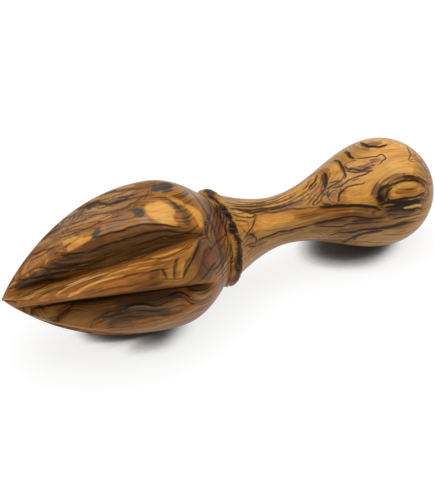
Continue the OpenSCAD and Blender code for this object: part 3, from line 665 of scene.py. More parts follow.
# Crisp veins with a growth level or a late wood: growth level, half width, darkness, fade on one side
# (positive towards greater angles), points
veins = [
    # handle
    (0, 0.28, 0.95, 0.8, "83 20, 85 20, 87.5 18.5, 90.5 17, 93.5 16.5, 97 12, 100 11.5, 103 12, 105.5 13"),
    (0, 0.35, 0.95, -0.8, "105 14, 108.5 14.5, 111 16, 113.5 16, 116 18, 118.5 18, 121 15, 123.5 12.5, "
     "126 11.5, 129 11.5"),
    (-1, 0.3, 0.85, 0, "106.5 7.5, 110.5 4.5, 113.5 2.5, 115.5 2, 116.5 5.5, 118.5 6.5, 121.5 6, 125 6.5, "
     "129 6, 131.5 6"),
    (10, 0.3, 0.75, 0, "82.5 75, 85 68, 89 68, 92.5 62, 96.5 61.5, 99.5 60.5, 102.5 53.5, 106 49.5, "
     "108.5 44.5"),
    (8.5, 0.5, 0.95, 1, "108.5 46.5, 111 42, 114 39.5, 117 35.5, 120.5 32.5, 123.5 28.5, 125.5 26.5, "
     "127 22, 128 20"),
    (12, 0.22, 0.75, 0, "77.5 87.5, 80.5 85.5, 84.5 87.5, 88.5 87.5, 91.5 89.5, 95 89, 98 89.5, 101 90.5, "
     "104.5 93, 107 96.5"),
    (11.4, 0.18, 0.7, 0, "77 79, 81.5 81, 85.5 82, 89.5 81, 93.5 83.5, 96.5 82, 99.5 84, 102.5 84, "
     "105 85.5, 107.5 88.5"),
    (13, 0.22, 0.75, 0, "77.5 92.5, 80.5 90.5, 84.5 93.5, 88.5 95, 92.5 97, 96 101, 99 104.5, 102.5 105, "
     "104.5 106"),
    (14, 0.2, 0.6, 0, "80 96, 83.5 100.5, 88 104.5, 91 104, 95 111"),
    (10.8, 0.25, 0.8, 0.8, "76.5 75.5, 80.5 74.5, 85.5 74.5, 90.5 74.5, 94 73, 98 72, 101 73, 103.5 73, "
     "106 76.5"),
    (12.2, 0.3, 0.85, 0, "106.5 93.5, 108.5 98.5, 110.5 106.5, 112.5 111"),
    (12.8, 0.4, 0.9, 0, "108.5 88.5, 110 95.5, 112 99, 113.5 106, 114.5 112"),
    (14, 0.4, 0.9, 0.8, "116.5 104.5, 115.5 90, 114.5 82.5, 113 74"),
    (16, 0.4, 0.9, 0.8, "122 118.5, 122.5 106, 122 98, 121.5 89, 121 81.5, 120.5 76, 119.5 73"),
    (19, 0.6, 0.92, 0, "127 119, 127 110, 126 100.5, 126.5 93.5"),
    (20, 0.28, 0.9, 0, "126 95.5, 128 89, 129.5 86, 131.5 83.5, 132.5 81.5, 134.5 82, 135 79.5, 135 75, "
     "133.5 74, 132.5 71.5, 131 71"),
    (18, 0.35, 0.9, 0, "122.5 94, 122.5 84.5, 124 80, 125.5 73.5, 127.5 72.5, 129 69.5"),
    (17.6, 0.35, 0.85, 0, "121.5 85, 122.5 79, 124 73.5, 126 71, 128 68, 129.5 66.5"),
    (17, 0.3, 0.85, 0, "114.5 67.5, 115.5 68, 117.5 65.5, 119 67, 120.5 68.5, 122 68.5, 124 67.5, "
     "126 66.5, 127.5 67, 129 67"),
    (11.5, 0.32, 0.85, 0.6, "115 43.5, 115.5 49, 116 53.5, 116.5 56.5, 118 58.5"),
    (12, 0.25, 0.75, 0, "105 56, 107 63, 108.5 68, 110.5 72"),
    (6, 0.24, 0.8, 0, "132 48.5, 133.5 49.5, 135 50, 137.5 50.5, 140 49.5, 143 46.5, 144.5 42.5, "
     "146.5 37.5, 147 30, 147.5 24, 145 22.5"),
    (7, 0.3, 0.92, 0.6, "130 41.5, 131 44, 132.5 46, 134.5 46, 137 46.5, 139.5 44.5, 142 43, 144.5 39, "
     "146 33.5, 146.5 28"),
    (5, 0.42, 0.95, 0, "130 30.5, 132 29, 134 28.5, 136.5 28, 138.5 27, 141 26, 143 26.5, 145.5 27"),
    (3, 0.55, 0.95, 0, "129 23, 131.5 22.5, 134.5 21.5, 137.5 20.5, 140 20.5, 143 17"),
    (1.5, 0.4, 0.92, 0, "129 19.5, 131.5 19, 134.5 17.5, 137.5 14, 141 13, 144 9.5"),
    (-2, 0.3, 0.85, 0, "131 7.5, 134.5 8, 137.5 7, 141 5.5, 144 4"),
    (-4, 0.4, 0.92, -0.8, "116.5 -10.5, 119 -10, 121.5 -5.5, 124 -4, 126.5 -3, 129 -3.5, 132 -2, 135 -1, "
     "138 -1, 141.5 -3"),
    (-6, 0.42, 0.88, -0.8, "120.5 -29.5, 121 -18, 122 -13.5, 123.5 -11, 125.5 -7.5, 128 -6.5"),
    (-3, 0.35, 0.85, 0, "111 -19.5, 113 -16, 114.5 -10.5, 116.5 -10.5, 118.5 -8, 120 -6"),
    (-9, 0.2, 0.5, 0, "123.5 -37.5, 125.5 -26, 128.5 -20.5"),
    (-1.6, 0.18, 0.6, 0, "87.5 14.5, 92 8.5, 97.5 5.5, 103 1.5"),
    (3, 0.26, 0.9, 0, "77 30, 79 34, 80.5 38.5, 82.5 44, 84 51.5, 85.5 59.5"),
    (1.5, 0.35, 0.88, 0, "80 34.5, 81.5 32, 82.5 28, 83 23.5, 83 20, 82 15.5"),
    (5, 0.25, 0.8, 0, "75.5 57.5, 78.5 56, 81 53.5, 81 48.5, 80.5 42.5, 80.5 40"),
    (26, 0.6, 0.92, 0.8, "134 118.5, 133.5 108, 133.5 101, 135 96.5, 136.5 93, 139.5 94"),
    (22, 0.3, 0.85, 0, "147 90, 146 81, 146 77.5, 145.5 72.5"),
    # head
    (13, 0.26, 0.85, 0, "13 138.5, 14.5 135.5, 16.5 133, 19 129, 21 126"),
    (13, 0.22, 0.8, 0, "23.5 128.5, 25 126.5, 27 124.5, 29 122, 30.5 119.5, 32.5 117.5, 34.5 116, "
     "36.5 114.5, 38.5 113.5, 40 112.5"),
    (14, 0.15, 0.7, 0, "19 134, 21 131.5, 23 129.5, 24.5 127.5"),
    (15, 0.19, 0.7, 0, "24.5 129.5, 26.5 127.5, 28.5 126, 31 123.5, 33.5 121.5, 35.5 119.5"),
    (14.5, 0.19, 0.8, 0, "35.5 119.5, 37 118, 39 116.5, 41 114.5, 43 113, 45 111.5, 46.5 111.5, 48 109.5, "
     "49.5 109"),
    (16, 0.17, 0.65, 0, "26 129, 29 127, 31.5 125, 34 122.5, 36.5 120.5, 38.5 119"),
    (19, 0.26, 0.85, 0.8, "32 128, 33.5 126.5, 35.5 125, 37.5 123.5, 39 121, 40.5 119, 43 117, 45 115.5, "
     "47 114"),
    (20, 0.22, 0.8, 0.6, "42.5 119.5, 44 118, 46.5 115.5, 48.5 114, 50.5 113"),
    (21, 0.17, 0.65, 0, "38 125.5, 40 124, 42 122.5"),
    (17.5, 0.15, 0.6, 0, "39.5 122.5, 41.5 121, 43 119"),
    (12, 0.38, 0.95, 0, "27.5 73.5, 29.5 72.5, 31 71.5, 33 71, 34.5 69.5, 36.5 68.5, 38.5 69, 40 68, "
     "42.5 67.5, 45 65.5, 47.5 63.5, 49.5 61.5, 52 59, 54.5 57.5"),
    (11.2, 0.3, 0.9, -0.8, "25 68, 27.5 67, 29.5 66.5, 33 65.5, 35 64.5, 37.5 64, 40 63, 42.5 62.5, "
     "45 61.5, 47 60.5, 50.5 58.5, 53.5 56"),
    (10.4, 0.3, 0.9, 0, "38.5 58, 41 57, 43.5 56.5, 45.5 56, 48 56, 51 54, 54 53, 57 51.5, 60 49"),
    (9.5, 0.22, 0.8, 0, "14.5 75.5, 16.5 71, 19 67, 22 63.5, 25 60.5, 27 59"),
    (9, 0.26, 0.85, 0, "12.5 72, 14.5 69, 17 66, 19.5 62.5, 22.5 59, 26.5 56, 30 55.5"),
    (9.8, 0.19, 0.7, 0, "25 64.5, 28 62, 31 60, 34 59, 37 58.5"),
    (8.6, 0.22, 0.85, 0, "30.5 47.5, 34 46, 37 47, 39 45.5, 41.5 44.5, 43.5 46, 45.5 48, 47 48"),
    (8.9, 0.19, 0.75, 0, "34.5 54, 37.5 52.5, 40.5 53, 43.5 52.5, 46.5 53, 49.5 51.5, 53.5 49.5"),
    (7.8, 0.19, 0.8, 0, "18 44, 21 44, 24 46, 27 44, 30.5 44.5, 34 45"),
    (7, 0.17, 0.75, 0, "18.5 39, 21 40.5, 24 41, 27.5 43, 30.5 43"),
    (6.4, 0.17, 0.85, 0, "42.5 40.5, 44.5 39.5, 46.5 38.5, 49 38.5, 52 40.5, 54.5 41, 56.5 42"),
    (5.6, 0.19, 0.85, 0, "36 36.5, 38 36.5, 40 36, 42 35.5, 44 35, 46.5 35.5, 49.5 36"),
    (5, 0.17, 0.8, 0, "22.5 31.5, 25 33, 27.5 34, 30 35, 32.5 36, 35 36"),
    (4.4, 0.19, 0.85, 0, "28.5 30.5, 31.5 31.5, 33.5 32, 36.5 32.5, 39 32, 42.5 31.5, 44 32"),
    (3.4, 0.15, 0.6, 0, "24 23.5, 27.5 25.5, 31 25.5, 34.5 25, 38 26.5"),
    (3, 0.34, 0.9, 0.8, "59 44, 58 41.5, 56.5 37.5, 54.5 32.5, 52.5 28, 51 24.5, 50 19"),
    (-4, 0.26, 0.9, 0, "13 -30, 15 -26.5, 17 -22.5, 18.5 -19, 20 -16"),
    (-6, 0.26, 0.85, 0.6, "33 -12, 35.5 -9.5, 38 -8, 40.5 -7.5, 42.5 -8, 45 -6.5, 47 -5, 49.5 -4"),
    (-6.8, 0.26, 0.85, 0, "21 -28, 23.5 -22, 26 -19, 29.5 -16, 32.5 -12.5, 35.5 -10.5"),
    (-7.6, 0.22, 0.8, 0, "22.5 -25.5, 25 -21.5, 28.5 -18, 31.5 -15.5, 34.5 -13, 38 -11, 41.5 -10.5, 45 -10"),
    (-5.2, 0.3, 0.9, 0, "47.5 -2, 49.5 0, 51 0.5, 52.5 -1, 53.5 -2.5"),
    (-8.6, 0.15, 0.6, 0, "36 -15, 39.5 -13.5, 43 -11.5, 46 -10.5"),
    # painted shade: a dark line along the valley of the flute at 6 degrees
    (-1, 0.35, 0.9, 0, "4 -50, 7 -40, 10 -31, 16 -18, 25 -7, 40 1, 60 5"),
    # underside of the knob
    (-7, 0.5, 0.85, -1.0, "119 -45, 118.5 -35, 119.5 -25, 120.3 -17, 122 -13, 125 -9.5, 129 -7"),
    (-10, 0.2, 0.45, 0, "128 -40, 130.5 -28"),
    # sides out of view
    (15, 0.4, 0.8, 1.5, "8 150, 30 152, 55 149, 70 155, 90 152, 110 146, 128 150, 146 156"),
    (8, 0.45, 0.85, -1.5, "6 196, 26 188, 48 192, 66 186, 88 190, 108 184, 126 192, 148 188"),
    (1, 0.35, 0.8, 1.2, "10 226, 34 232, 58 226, 78 232, 100 228, 122 236, 150 230"),
    (-8, 0.5, 0.85, 1.6, "8 262, 30 266, 54 260, 80 266, 104 262, 130 270, 152 262"),
    (-14, 0.35, 0.8, -1.2, "12 300, 36 304, 60 298, 84 302, 108 306, 130 298, 148 304"),
    (-11, 0.3, 0.7, 0, "98 318, 112 322, 126 330, 140 322"),
    (11, 0.3, 0.7, 0, "96 170, 112 164, 126 172, 140 168"),
    (4, 0.5, 0.9, 0.8, "118 208, 122 214, 129 214, 132 208, 129 202, 122 202, 118 208"),
    (5, 0.3, 0.8, 0.8, "113 208, 118 219, 129 221, 136 210, 130 196, 119 197, 113 208"),
    (-4, 0.4, 0.85, 0.8, "34 246, 38 250, 46 250, 50 246, 46 241, 38 241, 34 246")]
# Crisp lines between the veins: half width, darkness, and all the lines of that kind
plainLines = [
    (0.2, 0.7, "98.5 68, 101.5 69, 104.5 69.5, 106 70.5; 105 83, 107.5 86, 109 88.5; 103 68.5, 106 76.5, "
     "109 77.5; 142.5 65, 145 63, 146 57.5, 147 51"),
    (0.3, 0.8, "108.5 84, 110.5 89, 112 94; 115.5 103, 114 89.5, 113 78.5; 113 70.5, 115 72.5, 116 72.5, "
     "117.5 72.5, 119 72.5; 107 50, 107.5 57.5, 109 60.5, 110 64.5, 111.5 69.5, 112.5 70.5; 115 79, 116.5 "
     "77, 118.5 74; 63.5 60, 62 51.5, 61.5 46"),
    (0.25, 0.75, "123 94.5, 125 92.5, 126.5 89; 123.5 84, 125.5 80, 128 77.5, 130.5 76.5, 132 74.5; 129.5 "
     "81, 131.5 79, 133 78; 112 55.5, 113 59.5, 114 63, 115.5 63.5, 116.5 61; 108 51.5, 110 56, 111 62, "
     "112.5 65.5; 82 72.5, 84 68.5, 85.5 63.5, 85.5 56; 146.5 76, 148 72, 148.5 64.5, 149 54.5, 150.5 46"),
    (0.3, 0.85, "117 58, 117.5 58.5, 119 60.5, 121 59.5, 122 59, 124 57, 125.5 59; 110 49.5, 111.5 45.5, "
     "113 42.5; 76.5 96.5, 80 96, 84.5 93.5, 90 94.5, 96 101, 102 108.5; 75 87, 79 86.5, 83.5 87, 89.5 91, "
     "95 92.5, 100.5 96.5, 105 99.5; 76.5 84.5, 80 80.5, 84.5 82, 89.5 84, 94.5 86, 99 85.5, 104 90; 75 "
     "75, 79.5 76, 83.5 72.5, 89 75.5, 93.5 74, 98.5 77, 102.5 81.5; 76.5 75.5, 80.5 72.5, 84 66.5, 88.5 "
     "71, 93 69, 98 69.5, 101.5 71.5; 76 65.5, 79 62, 83 59, 86 63.5; 71.5 92.5, 70.5 74, 66.5 57, 64 48, "
     "63.5 41; 72 87, 72 71, 70.5 58, 68 49, 67 41; 72.5 79, 73 63, 72 54, 71.5 48, 71.5 38; 69.5 37.5, "
     "68.5 28, 67 21, 64 17.5, 61 17; 72 23, 71.5 12, 69 11, 66 9.5, 62.5 9; 72.5 15.5, 72 9, 70.5 4.5, 67 "
     "4.5, 63.5 4; 65.5 31, 69.5 36.5, 71.5 45.5, 72 52; 61 41, 62 35.5, 65 38.5, 67.5 40, 71.5 44"),
    (0.22, 0.75, "121 66, 123 65, 124.5 63; 77.5 49.5, 78 43.5, 79.5 38"),
    (0.32, 0.92, "129.5 33, 130.5 38, 131.5 40.5, 133 42.5"),
    (0.14, 0.5, "135 41.5, 138 40.5, 140.5 38.5, 143 34.5, 143.5 31"),
    (0.55, 0.92, "127.5 39, 129 44, 130.5 45.5, 132 46.5"),
    (0.5, 0.95, "127.5 27.5, 130.5 28, 132.5 26.5, 134.5 25, 137.5 23.5, 140 22.5, 143 20"),
    (0.4, 0.8, "117.5 -33, 119 -27.5, 120 -23.5"),
    (0.2, 0.6, "122.5 -22, 123.5 -17, 125 -13"),
    (0.2, 0.55, "132 -14.5, 135 -13, 138 -13; 65 37, 61.5 32.5, 60 27.5, 60 23.5, 62 22, 65 26, 66 32.5"),
    (0.15, 0.55, "104.5 -6, 108.5 -4, 112.5 -5.5"),
    (0.25, 0.7, "83 10, 85.5 8.5, 88.5 8"),
    (0.45, 0.92, "75 48.5, 75 40.5, 75.5 33, 77 27"),
    (0.22, 0.7, "75 65, 79 67, 82.5 68.5; 36 123.5, 37.5 121, 40 119, 41.5 116.5; 17 136, 23.5 129, 31 "
     "122, 37 114.5; 40.5 83, 46.5 87; 13 138, 17 132, 22 125; 12 137.5, 16.5 131, 20.5 127.5; 21 134, "
     "27.5 130, 34 125.5, 38.5 121.5, 42.5 117, 46 115.5, 49.5 115, 52 114; 18.5 135, 24 130.5, 30.5 "
     "124.5, 35.5 120.5, 40.5 114.5, 46 111, 51 110, 53.5 109.5; 25.5 131, 31.5 127.5, 37 124.5, 42.5 "
     "120.5, 46.5 118, 50 116.5; 30.5 129, 35 126, 39.5 124, 44 121.5; 20 132, 25.5 127.5, 32 121; 35 83, "
     "39 81.5; 24 126, 30.5 119.5; 34.5 80.5, 40.5 75.5, 45.5 80.5; 22.5 126.5, 29 119; 23 134.5, 29 "
     "128.5, 35.5 124, 41 120.5, 45.5 117; 20 134.5, 25.5 130.5, 32 125.5, 37 120.5"),
    (0.3, 0.75, "77 21, 79 20.5, 82 18.5"),
    (0.35, 0.75, "79 18, 81 14, 83 11.5"),
    (0.28, 0.75, "81.5 61.5, 84 58.5, 85.5 59.5"),
    (0.25, 0.8, "133.5 108, 135 105, 137 102.5, 140 104; 146 74.5, 143.5 68.5, 142.5 65"),
    (0.2, 0.65, "150.5 87.5, 150.5 73.5, 151 56.5, 151.5 42.5"),
    (0.24, 0.85, "116.5 119.5, 116 100, 114 83.5, 112.5 73, 110.5 65.5, 108 58.5, 107.5 49"),
    (0.22, 0.8, "122 114.5, 122 97, 121.5 85, 119.5 76, 117.5 72.5, 115.5 72.5, 113.5 67.5, 112.5 58.5, "
     "113 48, 115.5 40.5; 44 32, 44.5 28.5, 45 24; 14 77.5, 18.5 70.5, 23 67.5, 28.5 65.5, 32.5 63.5; 5.5 "
     "72, 9.5 65, 14.5 61.5, 19.5 59; 17.5 65.5, 23 61, 28.5 59.5, 33.5 59; 20.5 -11, 18 -21, 15 -26.5, 13 "
     "-32.5"),
    (0.2, 0.8, "115.5 107, 113.5 92, 111.5 83.5, 109 76.5, 106.5 69, 103.5 63.5; 112 69.5, 110.5 59, 110.5 "
     "49, 112.5 41.5, 116.5 36"),
    (0.2, 0.75, "114.5 114, 111.5 98.5, 108.5 88.5, 106 84.5, 103 79.5, 99.5 74, 95.5 71"),
    (0.18, 0.75, "117.5 69, 117 57.5, 115.5 48.5, 116 42; 128 34.5, 128.5 45, 131 52, 135 54.5, 139.5 "
     "52.5, 144 49.5, 147.5 43; 147 90, 145 74, 143 66, 146 67, 149 57.5, 150.5 47.5, 151.5 36.5"),
    (0.22, 0.85, "128.5 36, 130 44, 132.5 48.5, 136 49.5, 140 48.5, 144 45, 147 37.5, 148 26.5, 147 20.5, "
     "145 18; 130.5 32, 130.5 40, 132.5 44.5, 136 45, 140 44, 144 40.5, 146 34.5, 146 28.5, 144.5 25, "
     "140.5 26, 136 27, 131.5 29, 130.5 32; 12.5 50.5, 14.5 50.5, 16 50.5; 6 28, 7.5 31, 10 39, 12 43.5; 8 "
     "24, 9.5 25.5, 12 30, 14 32.5, 16.5 35; 50 37, 48 32, 47.5 26.5, 47 21; 4.5 -48, 5.5 -46, 5 0.5; 52 "
     "9.5, 54.5 2.5, 56.5 1.5, 58 1.5, 60 3; 2 125, 3 90, 4.5 75, 5.5 72; 5 151.5, 6 85.5, 9 70.5, 13.5 "
     "68.5, 16.5 67"),
    (0.16, 0.7, "106 58.5, 108.5 68, 111.5 73, 115 72.5; 99.5 92, 104 96, 108 103.5, 112 115.5, 115 123; "
     "84.5 62, 89.5 63, 95 63.5, 100 65, 103.5 61.5"),
    (0.16, 0.65, "80 87.5, 85.5 87.5, 90.5 87, 95.5 88, 99 85.5"),
    (0.15, 0.65, "20 130, 22.5 128.5, 23.5 127, 26 124; 50.5 113, 52 112, 53 113; 51 109.5, 52 110.5, 52.5 "
     "111.5; 8 142.5, 8 89, 10 84, 11.5 79"),
    (0.15, 0.7, "36 116.5, 38 115.5, 40 113.5, 42 112; 44.5 110.5, 46.5 109.5, 48.5 109, 50 108; 46 112.5, "
     "47 111, 49 110, 50.5 110; 16.5 29, 18.5 31, 21 32.5, 23.5 35; 16 25.5, 18 27.5, 21 30.5, 23 31.5; 6 "
     "-43.5, 7 -39, 8 -36.5"),
    (0.15, 0.6, "42.5 122, 45 120, 47 119; 56 82.5, 58 79.5, 60 75, 61.5 71; 32.5 32.5, 35 32.5, 38 30.5"),
    (0.19, 0.75, "50 108, 51.5 108.5, 52.5 110, 53.5 111.5, 53.5 112.5; 52.5 107.5, 53.5 109, 54.5 111; "
     "28.5 59.5, 32 57, 35 54.5; 20.5 58, 23.5 54.5, 27 50, 30.5 47.5; 16.5 78, 20 71, 24.5 68.5, 29 66, "
     "33 65.5"),
    (0.19, 0.8, "53 86.5, 54.5 83.5, 55 78.5, 55.5 74.5; 49 53.5, 52 52.5, 55 51, 58 50; 2.5 25.5, 4.5 37, "
     "6.5 45; 5 151.5, 5 95, 6.5 80.5, 8 73"),
    (0.34, 0.9, "18 73.5, 19.5 72.5, 21.5 71, 23.5 69, 26 68"),
    (0.52, 0.9, "8.5 72, 11.5 67.5, 14.5 64, 17.5 61, 20.5 58"),
    (0.26, 0.9, "0.5 0, 2 8, 3.5 9.5"),
    (0.3, 0.9, "51.5 -3, 53 -5, 55.5 -5.5, 58.5 -7, 61.5 -7.5, 64.5 -8.5"),
    (0.19, 0.7, "48.5 -7, 51 -6.5, 52.5 -9"),
    (0.17, 0.7, "30.5 -64.5, 35 -64, 39.5 -63.5, 44 -62"),
    (0.38, 0.85, "24 -64.5, 26.5 -64.5"),
    (0.26, 0.85, "10 84, 13.5 72, 19 65, 23.5 61, 29.5 56, 32.5 54.5; 68 79.5, 66.5 68, 63.5 57.5, 62 "
     "50.5, 62 44; 72 88.5, 71.5 74.5, 68.5 57.5, 65.5 47.5, 65.5 40; 72 85, 72.5 66.5, 71.5 57.5, 69.5 "
     "49.5, 69 42; 72 35.5, 71.5 22.5, 69 18.5, 65.5 13.5, 62 11.5"),
    (0.17, 0.8, "24 -22.5, 27 -19.5, 30.5 -15.5, 34 -13, 38 -11, 41.5 -10.5"),
    (0.21, 0.85, "23 -22.5, 26 -18.5, 30 -13.5"),
    (0.34, 0.85, "71.5 99.5, 68.5 72, 64.5 57, 62 45.5, 63 38.5; 71.5 40.5, 70.5 29.5, 68.5 21.5, 67 17.5, "
     "64 13, 62 13"),
    (0.24, 0.6, "64.5 37, 61 33, 58 28.5, 59 21.5, 62 18.5, 66.5 22, 68 32, 70 41.5"),
    (0.18, 0.5, "64.5 33.5, 62 28.5, 61 25")]
for width, darkness, texts in plainLines:
    veins += [(None, width, darkness, 0, text) for text in texts.split("; ")]


def headRadius(z):
    s = headSizes
    ahead = np.clip(z, 0, s["Widest At"]) / s["Widest At"]
    nose = s["Diameter"] / 2 * np.sin(np.pi / 2 * ahead ** s["Fullness"])
    behind = np.clip((z - s["Widest At"]) / (s["Length"] - s["Widest At"]), 0, 1)
    fall = np.cos(np.pi / 2 * behind ** shoulderPower)
    back = s["Shoulder"] / 2 + (s["Diameter"] - s["Shoulder"]) / 2 * fall
    return np.where(z > s["Widest At"], back, nose)


def turnedRadius(z):
    # The uncut, turned shape from the tip to the knob
    behind = np.where(z < handleSizes["start"], beadRadius(z), handleRadius(z))
    return np.where(z < headSizes["Length"], headRadius(z), behind)


def carvedRadius(z, angle):
    s = headSizes
    mouth = headRadius(np.array(s["Flute Length"]))
    radius = turnedRadius(z)
    for valleyAngle, miss, steeperUpper, steeperLower, thicker in flutes:
        core = s["Core"] + thicker
        slope = (mouth - core) / s["Flute Length"]
        valley = core + slope * z
        aside = (1 - z / s["Flute Length"]) * miss
        tanUpper = math.tan(math.radians(s["Upper Wall"] - steeperUpper)) * math.cos(math.atan(slope))
        tanLower = math.tan(math.radians(s["Lower Wall"] - steeperLower)) * math.cos(math.atan(slope))
        turn = angle - math.radians(valleyAngle)
        upperSide = np.cos(turn) * tanUpper - np.sin(turn)
        lowerSide = np.cos(turn) * tanLower + np.sin(turn)
        cut = np.maximum((valley * tanUpper - aside) / np.maximum(upperSide, leastOpening),
                         (valley * tanLower + aside) / np.maximum(lowerSide, leastOpening))
        isCut = (np.minimum(upperSide, lowerSide) > leastOpening) & (z < s["Length"])
        radius = np.where(isCut, np.minimum(radius, cut), radius)
    return radius


def onSurface(z, angle):
    # Upright frame of the meshes: X is up, Y is the front
    radius = carvedRadius(z, angle)
    return np.stack([radius * np.sin(angle), radius * np.cos(angle), z], -1)


curveSteps = 24  # steps of a curve between two of its points
sampleGap = 0.3  # distance between the samples on a curve
growthStep = 11  # every so many samples of a vein carry its growth level
growthSoft = 4.0  # softness of the growth level, squared
growthLoose = 0.4  # how loosely the growth level keeps to the veins
batch = 8000  # points handled at once
veinReach = 3.0  # distance from a vein at which nothing of it is left


def drawn(text):
    # Smooth curve through the points, as even samples on the surface
    knots = np.array([[float(v) for v in pair.split()] for pair in text.split(",")])
    if len(knots) > 2:
        ends = [2 * knots[0] - knots[1], 2 * knots[-1] - knots[-2]]
        k = np.vstack([ends[:1], knots, ends[1:]])
        t = np.linspace(0, 1, curveSteps, endpoint=False)[:, None]
        parts = []
        for a, b, c, d in zip(k, k[1:], k[2:], k[3:]):
            square = t ** 2 * (a - 2.5 * b + 2 * c - d / 2)
            cube = t ** 3 * (1.5 * (b - c) + (d - a) / 2)
            parts.append(b + t * (c - a) / 2 + square + cube)
        knots = np.vstack(parts + [knots[-1:]])
    points = onSurface(knots[:, 0], np.radians(knots[:, 1]))
    walked = np.concatenate([[0], np.cumsum(np.linalg.norm(np.diff(points, axis=0), axis=1))])
    even = np.linspace(0, walked[-1], max(int(walked[-1] / sampleGap), 3))
    return np.stack([np.interp(even, walked, points[:, i]) for i in range(3)], -1)


def distanceTo(points, normals, samples, reach):
    # Which points lie within reach of the samples, how far away, on which side and how far along
    middle = samples.mean(0)
    radius = np.linalg.norm(samples - middle, axis=1).max() + reach
    near = np.flatnonzero(((points - middle) ** 2).sum(1) < radius * radius)
    low, high = samples.min(0) - reach, samples.max(0) + reach
    near = near[((points[near] > low) & (points[near] < high)).all(1)]
    if not len(near):
        return near, np.zeros(0), np.zeros(0), np.zeros(0)
    p = points[near]
    square = (p ** 2).sum(1)[:, None] + (samples ** 2).sum(1) - 2 * p @ samples.T
    index = square.argmin(1)
    gap = np.sqrt(np.maximum(square[np.arange(len(near)), index], 0))
    way = np.gradient(samples, axis=0)[index]
    side = -np.sign((np.cross(normals[near], way) * (p - samples[index])).sum(1))
    return near, gap, side, index / (len(samples) - 1)


def soften(x):
    x = np.clip(x, 0, 1)
    return x * x * (3 - 2 * x)


def growthRule():
    # Growth level between the veins: multiquadric through their points, level by level
    points, levels = [], []
    for level, _, _, _, text in veins:
        if level is not None:
            samples = drawn(text)[::growthStep]
            points.append(samples)
            levels += [float(level)] * len(samples)
    points, levels = np.vstack(points), np.array(levels)
    gaps = np.sqrt(((points[:, None] - points[None]) ** 2).sum(-1) + growthSoft)
    flat = np.hstack([points, np.ones((len(points), 1))])
    system = np.block([[gaps - growthLoose * np.eye(len(points)), flat], [flat.T, np.zeros((4, 4))]])
    solved = np.linalg.lstsq(system, np.concatenate([levels, np.zeros(4)]), rcond=1e-9)[0]
    return points, solved


growthPoints, growthWeights = growthRule()
print("growth rule:", len(growthPoints), "points")


def growthAt(place):
    level = np.zeros(len(place))
    for start in range(0, len(place), batch):
        part = place[start:start + batch]
        square = (part ** 2).sum(1)[:, None] + (growthPoints ** 2).sum(1) - 2 * part @ growthPoints.T
        curved = np.sqrt(np.maximum(square, 0) + growthSoft) @ growthWeights[:-4]
        level[start:start + batch] = curved + part @ growthWeights[-4:-1] + growthWeights[-1]
    return level


def otherGrowth(z, angle):
    # Where the growth lines keep to a plain rule: the head's back, the top flute's far wall and the tip
    degrees = np.mod(np.degrees(angle) + 90, 360) - 90
    back = soften((z - 61) / 5) * soften((77 - z) / 3)
    farWall = soften((degrees - 96) / 6) * soften((146 - degrees) / 8) * soften((55 - z) / 4)
    point = soften((17 - z) / 4) * soften((degrees - 8) / 6) * soften((52 - degrees) / 6)
    nearTip = soften((13 - z) / 3) * (1 - soften((degrees - 8) / 6) * soften((146 - degrees) / 8))
    rules = [0.8 * z + 0.012 * degrees, 0.2 * (degrees + 0.9 * z), 0.2 * (degrees - 1.5 * z)]
    level = np.select([back > 0, farWall > 0, point > 0], rules, 0.16 * degrees)
    return level, np.maximum.reduce([back, farWall, point, nearTip])


hiddenSide = 225  # angle of the side farthest from the photo's view
lateWood = 0.65  # how far the tone sinks beside a vein


def coordinates(mesh, name="co"):
    flat = np.zeros(len(mesh.vertices) * 3, np.float32)
    mesh.vertices.foreach_get(name, flat)
    return flat.reshape(-1, 3).astype(float)


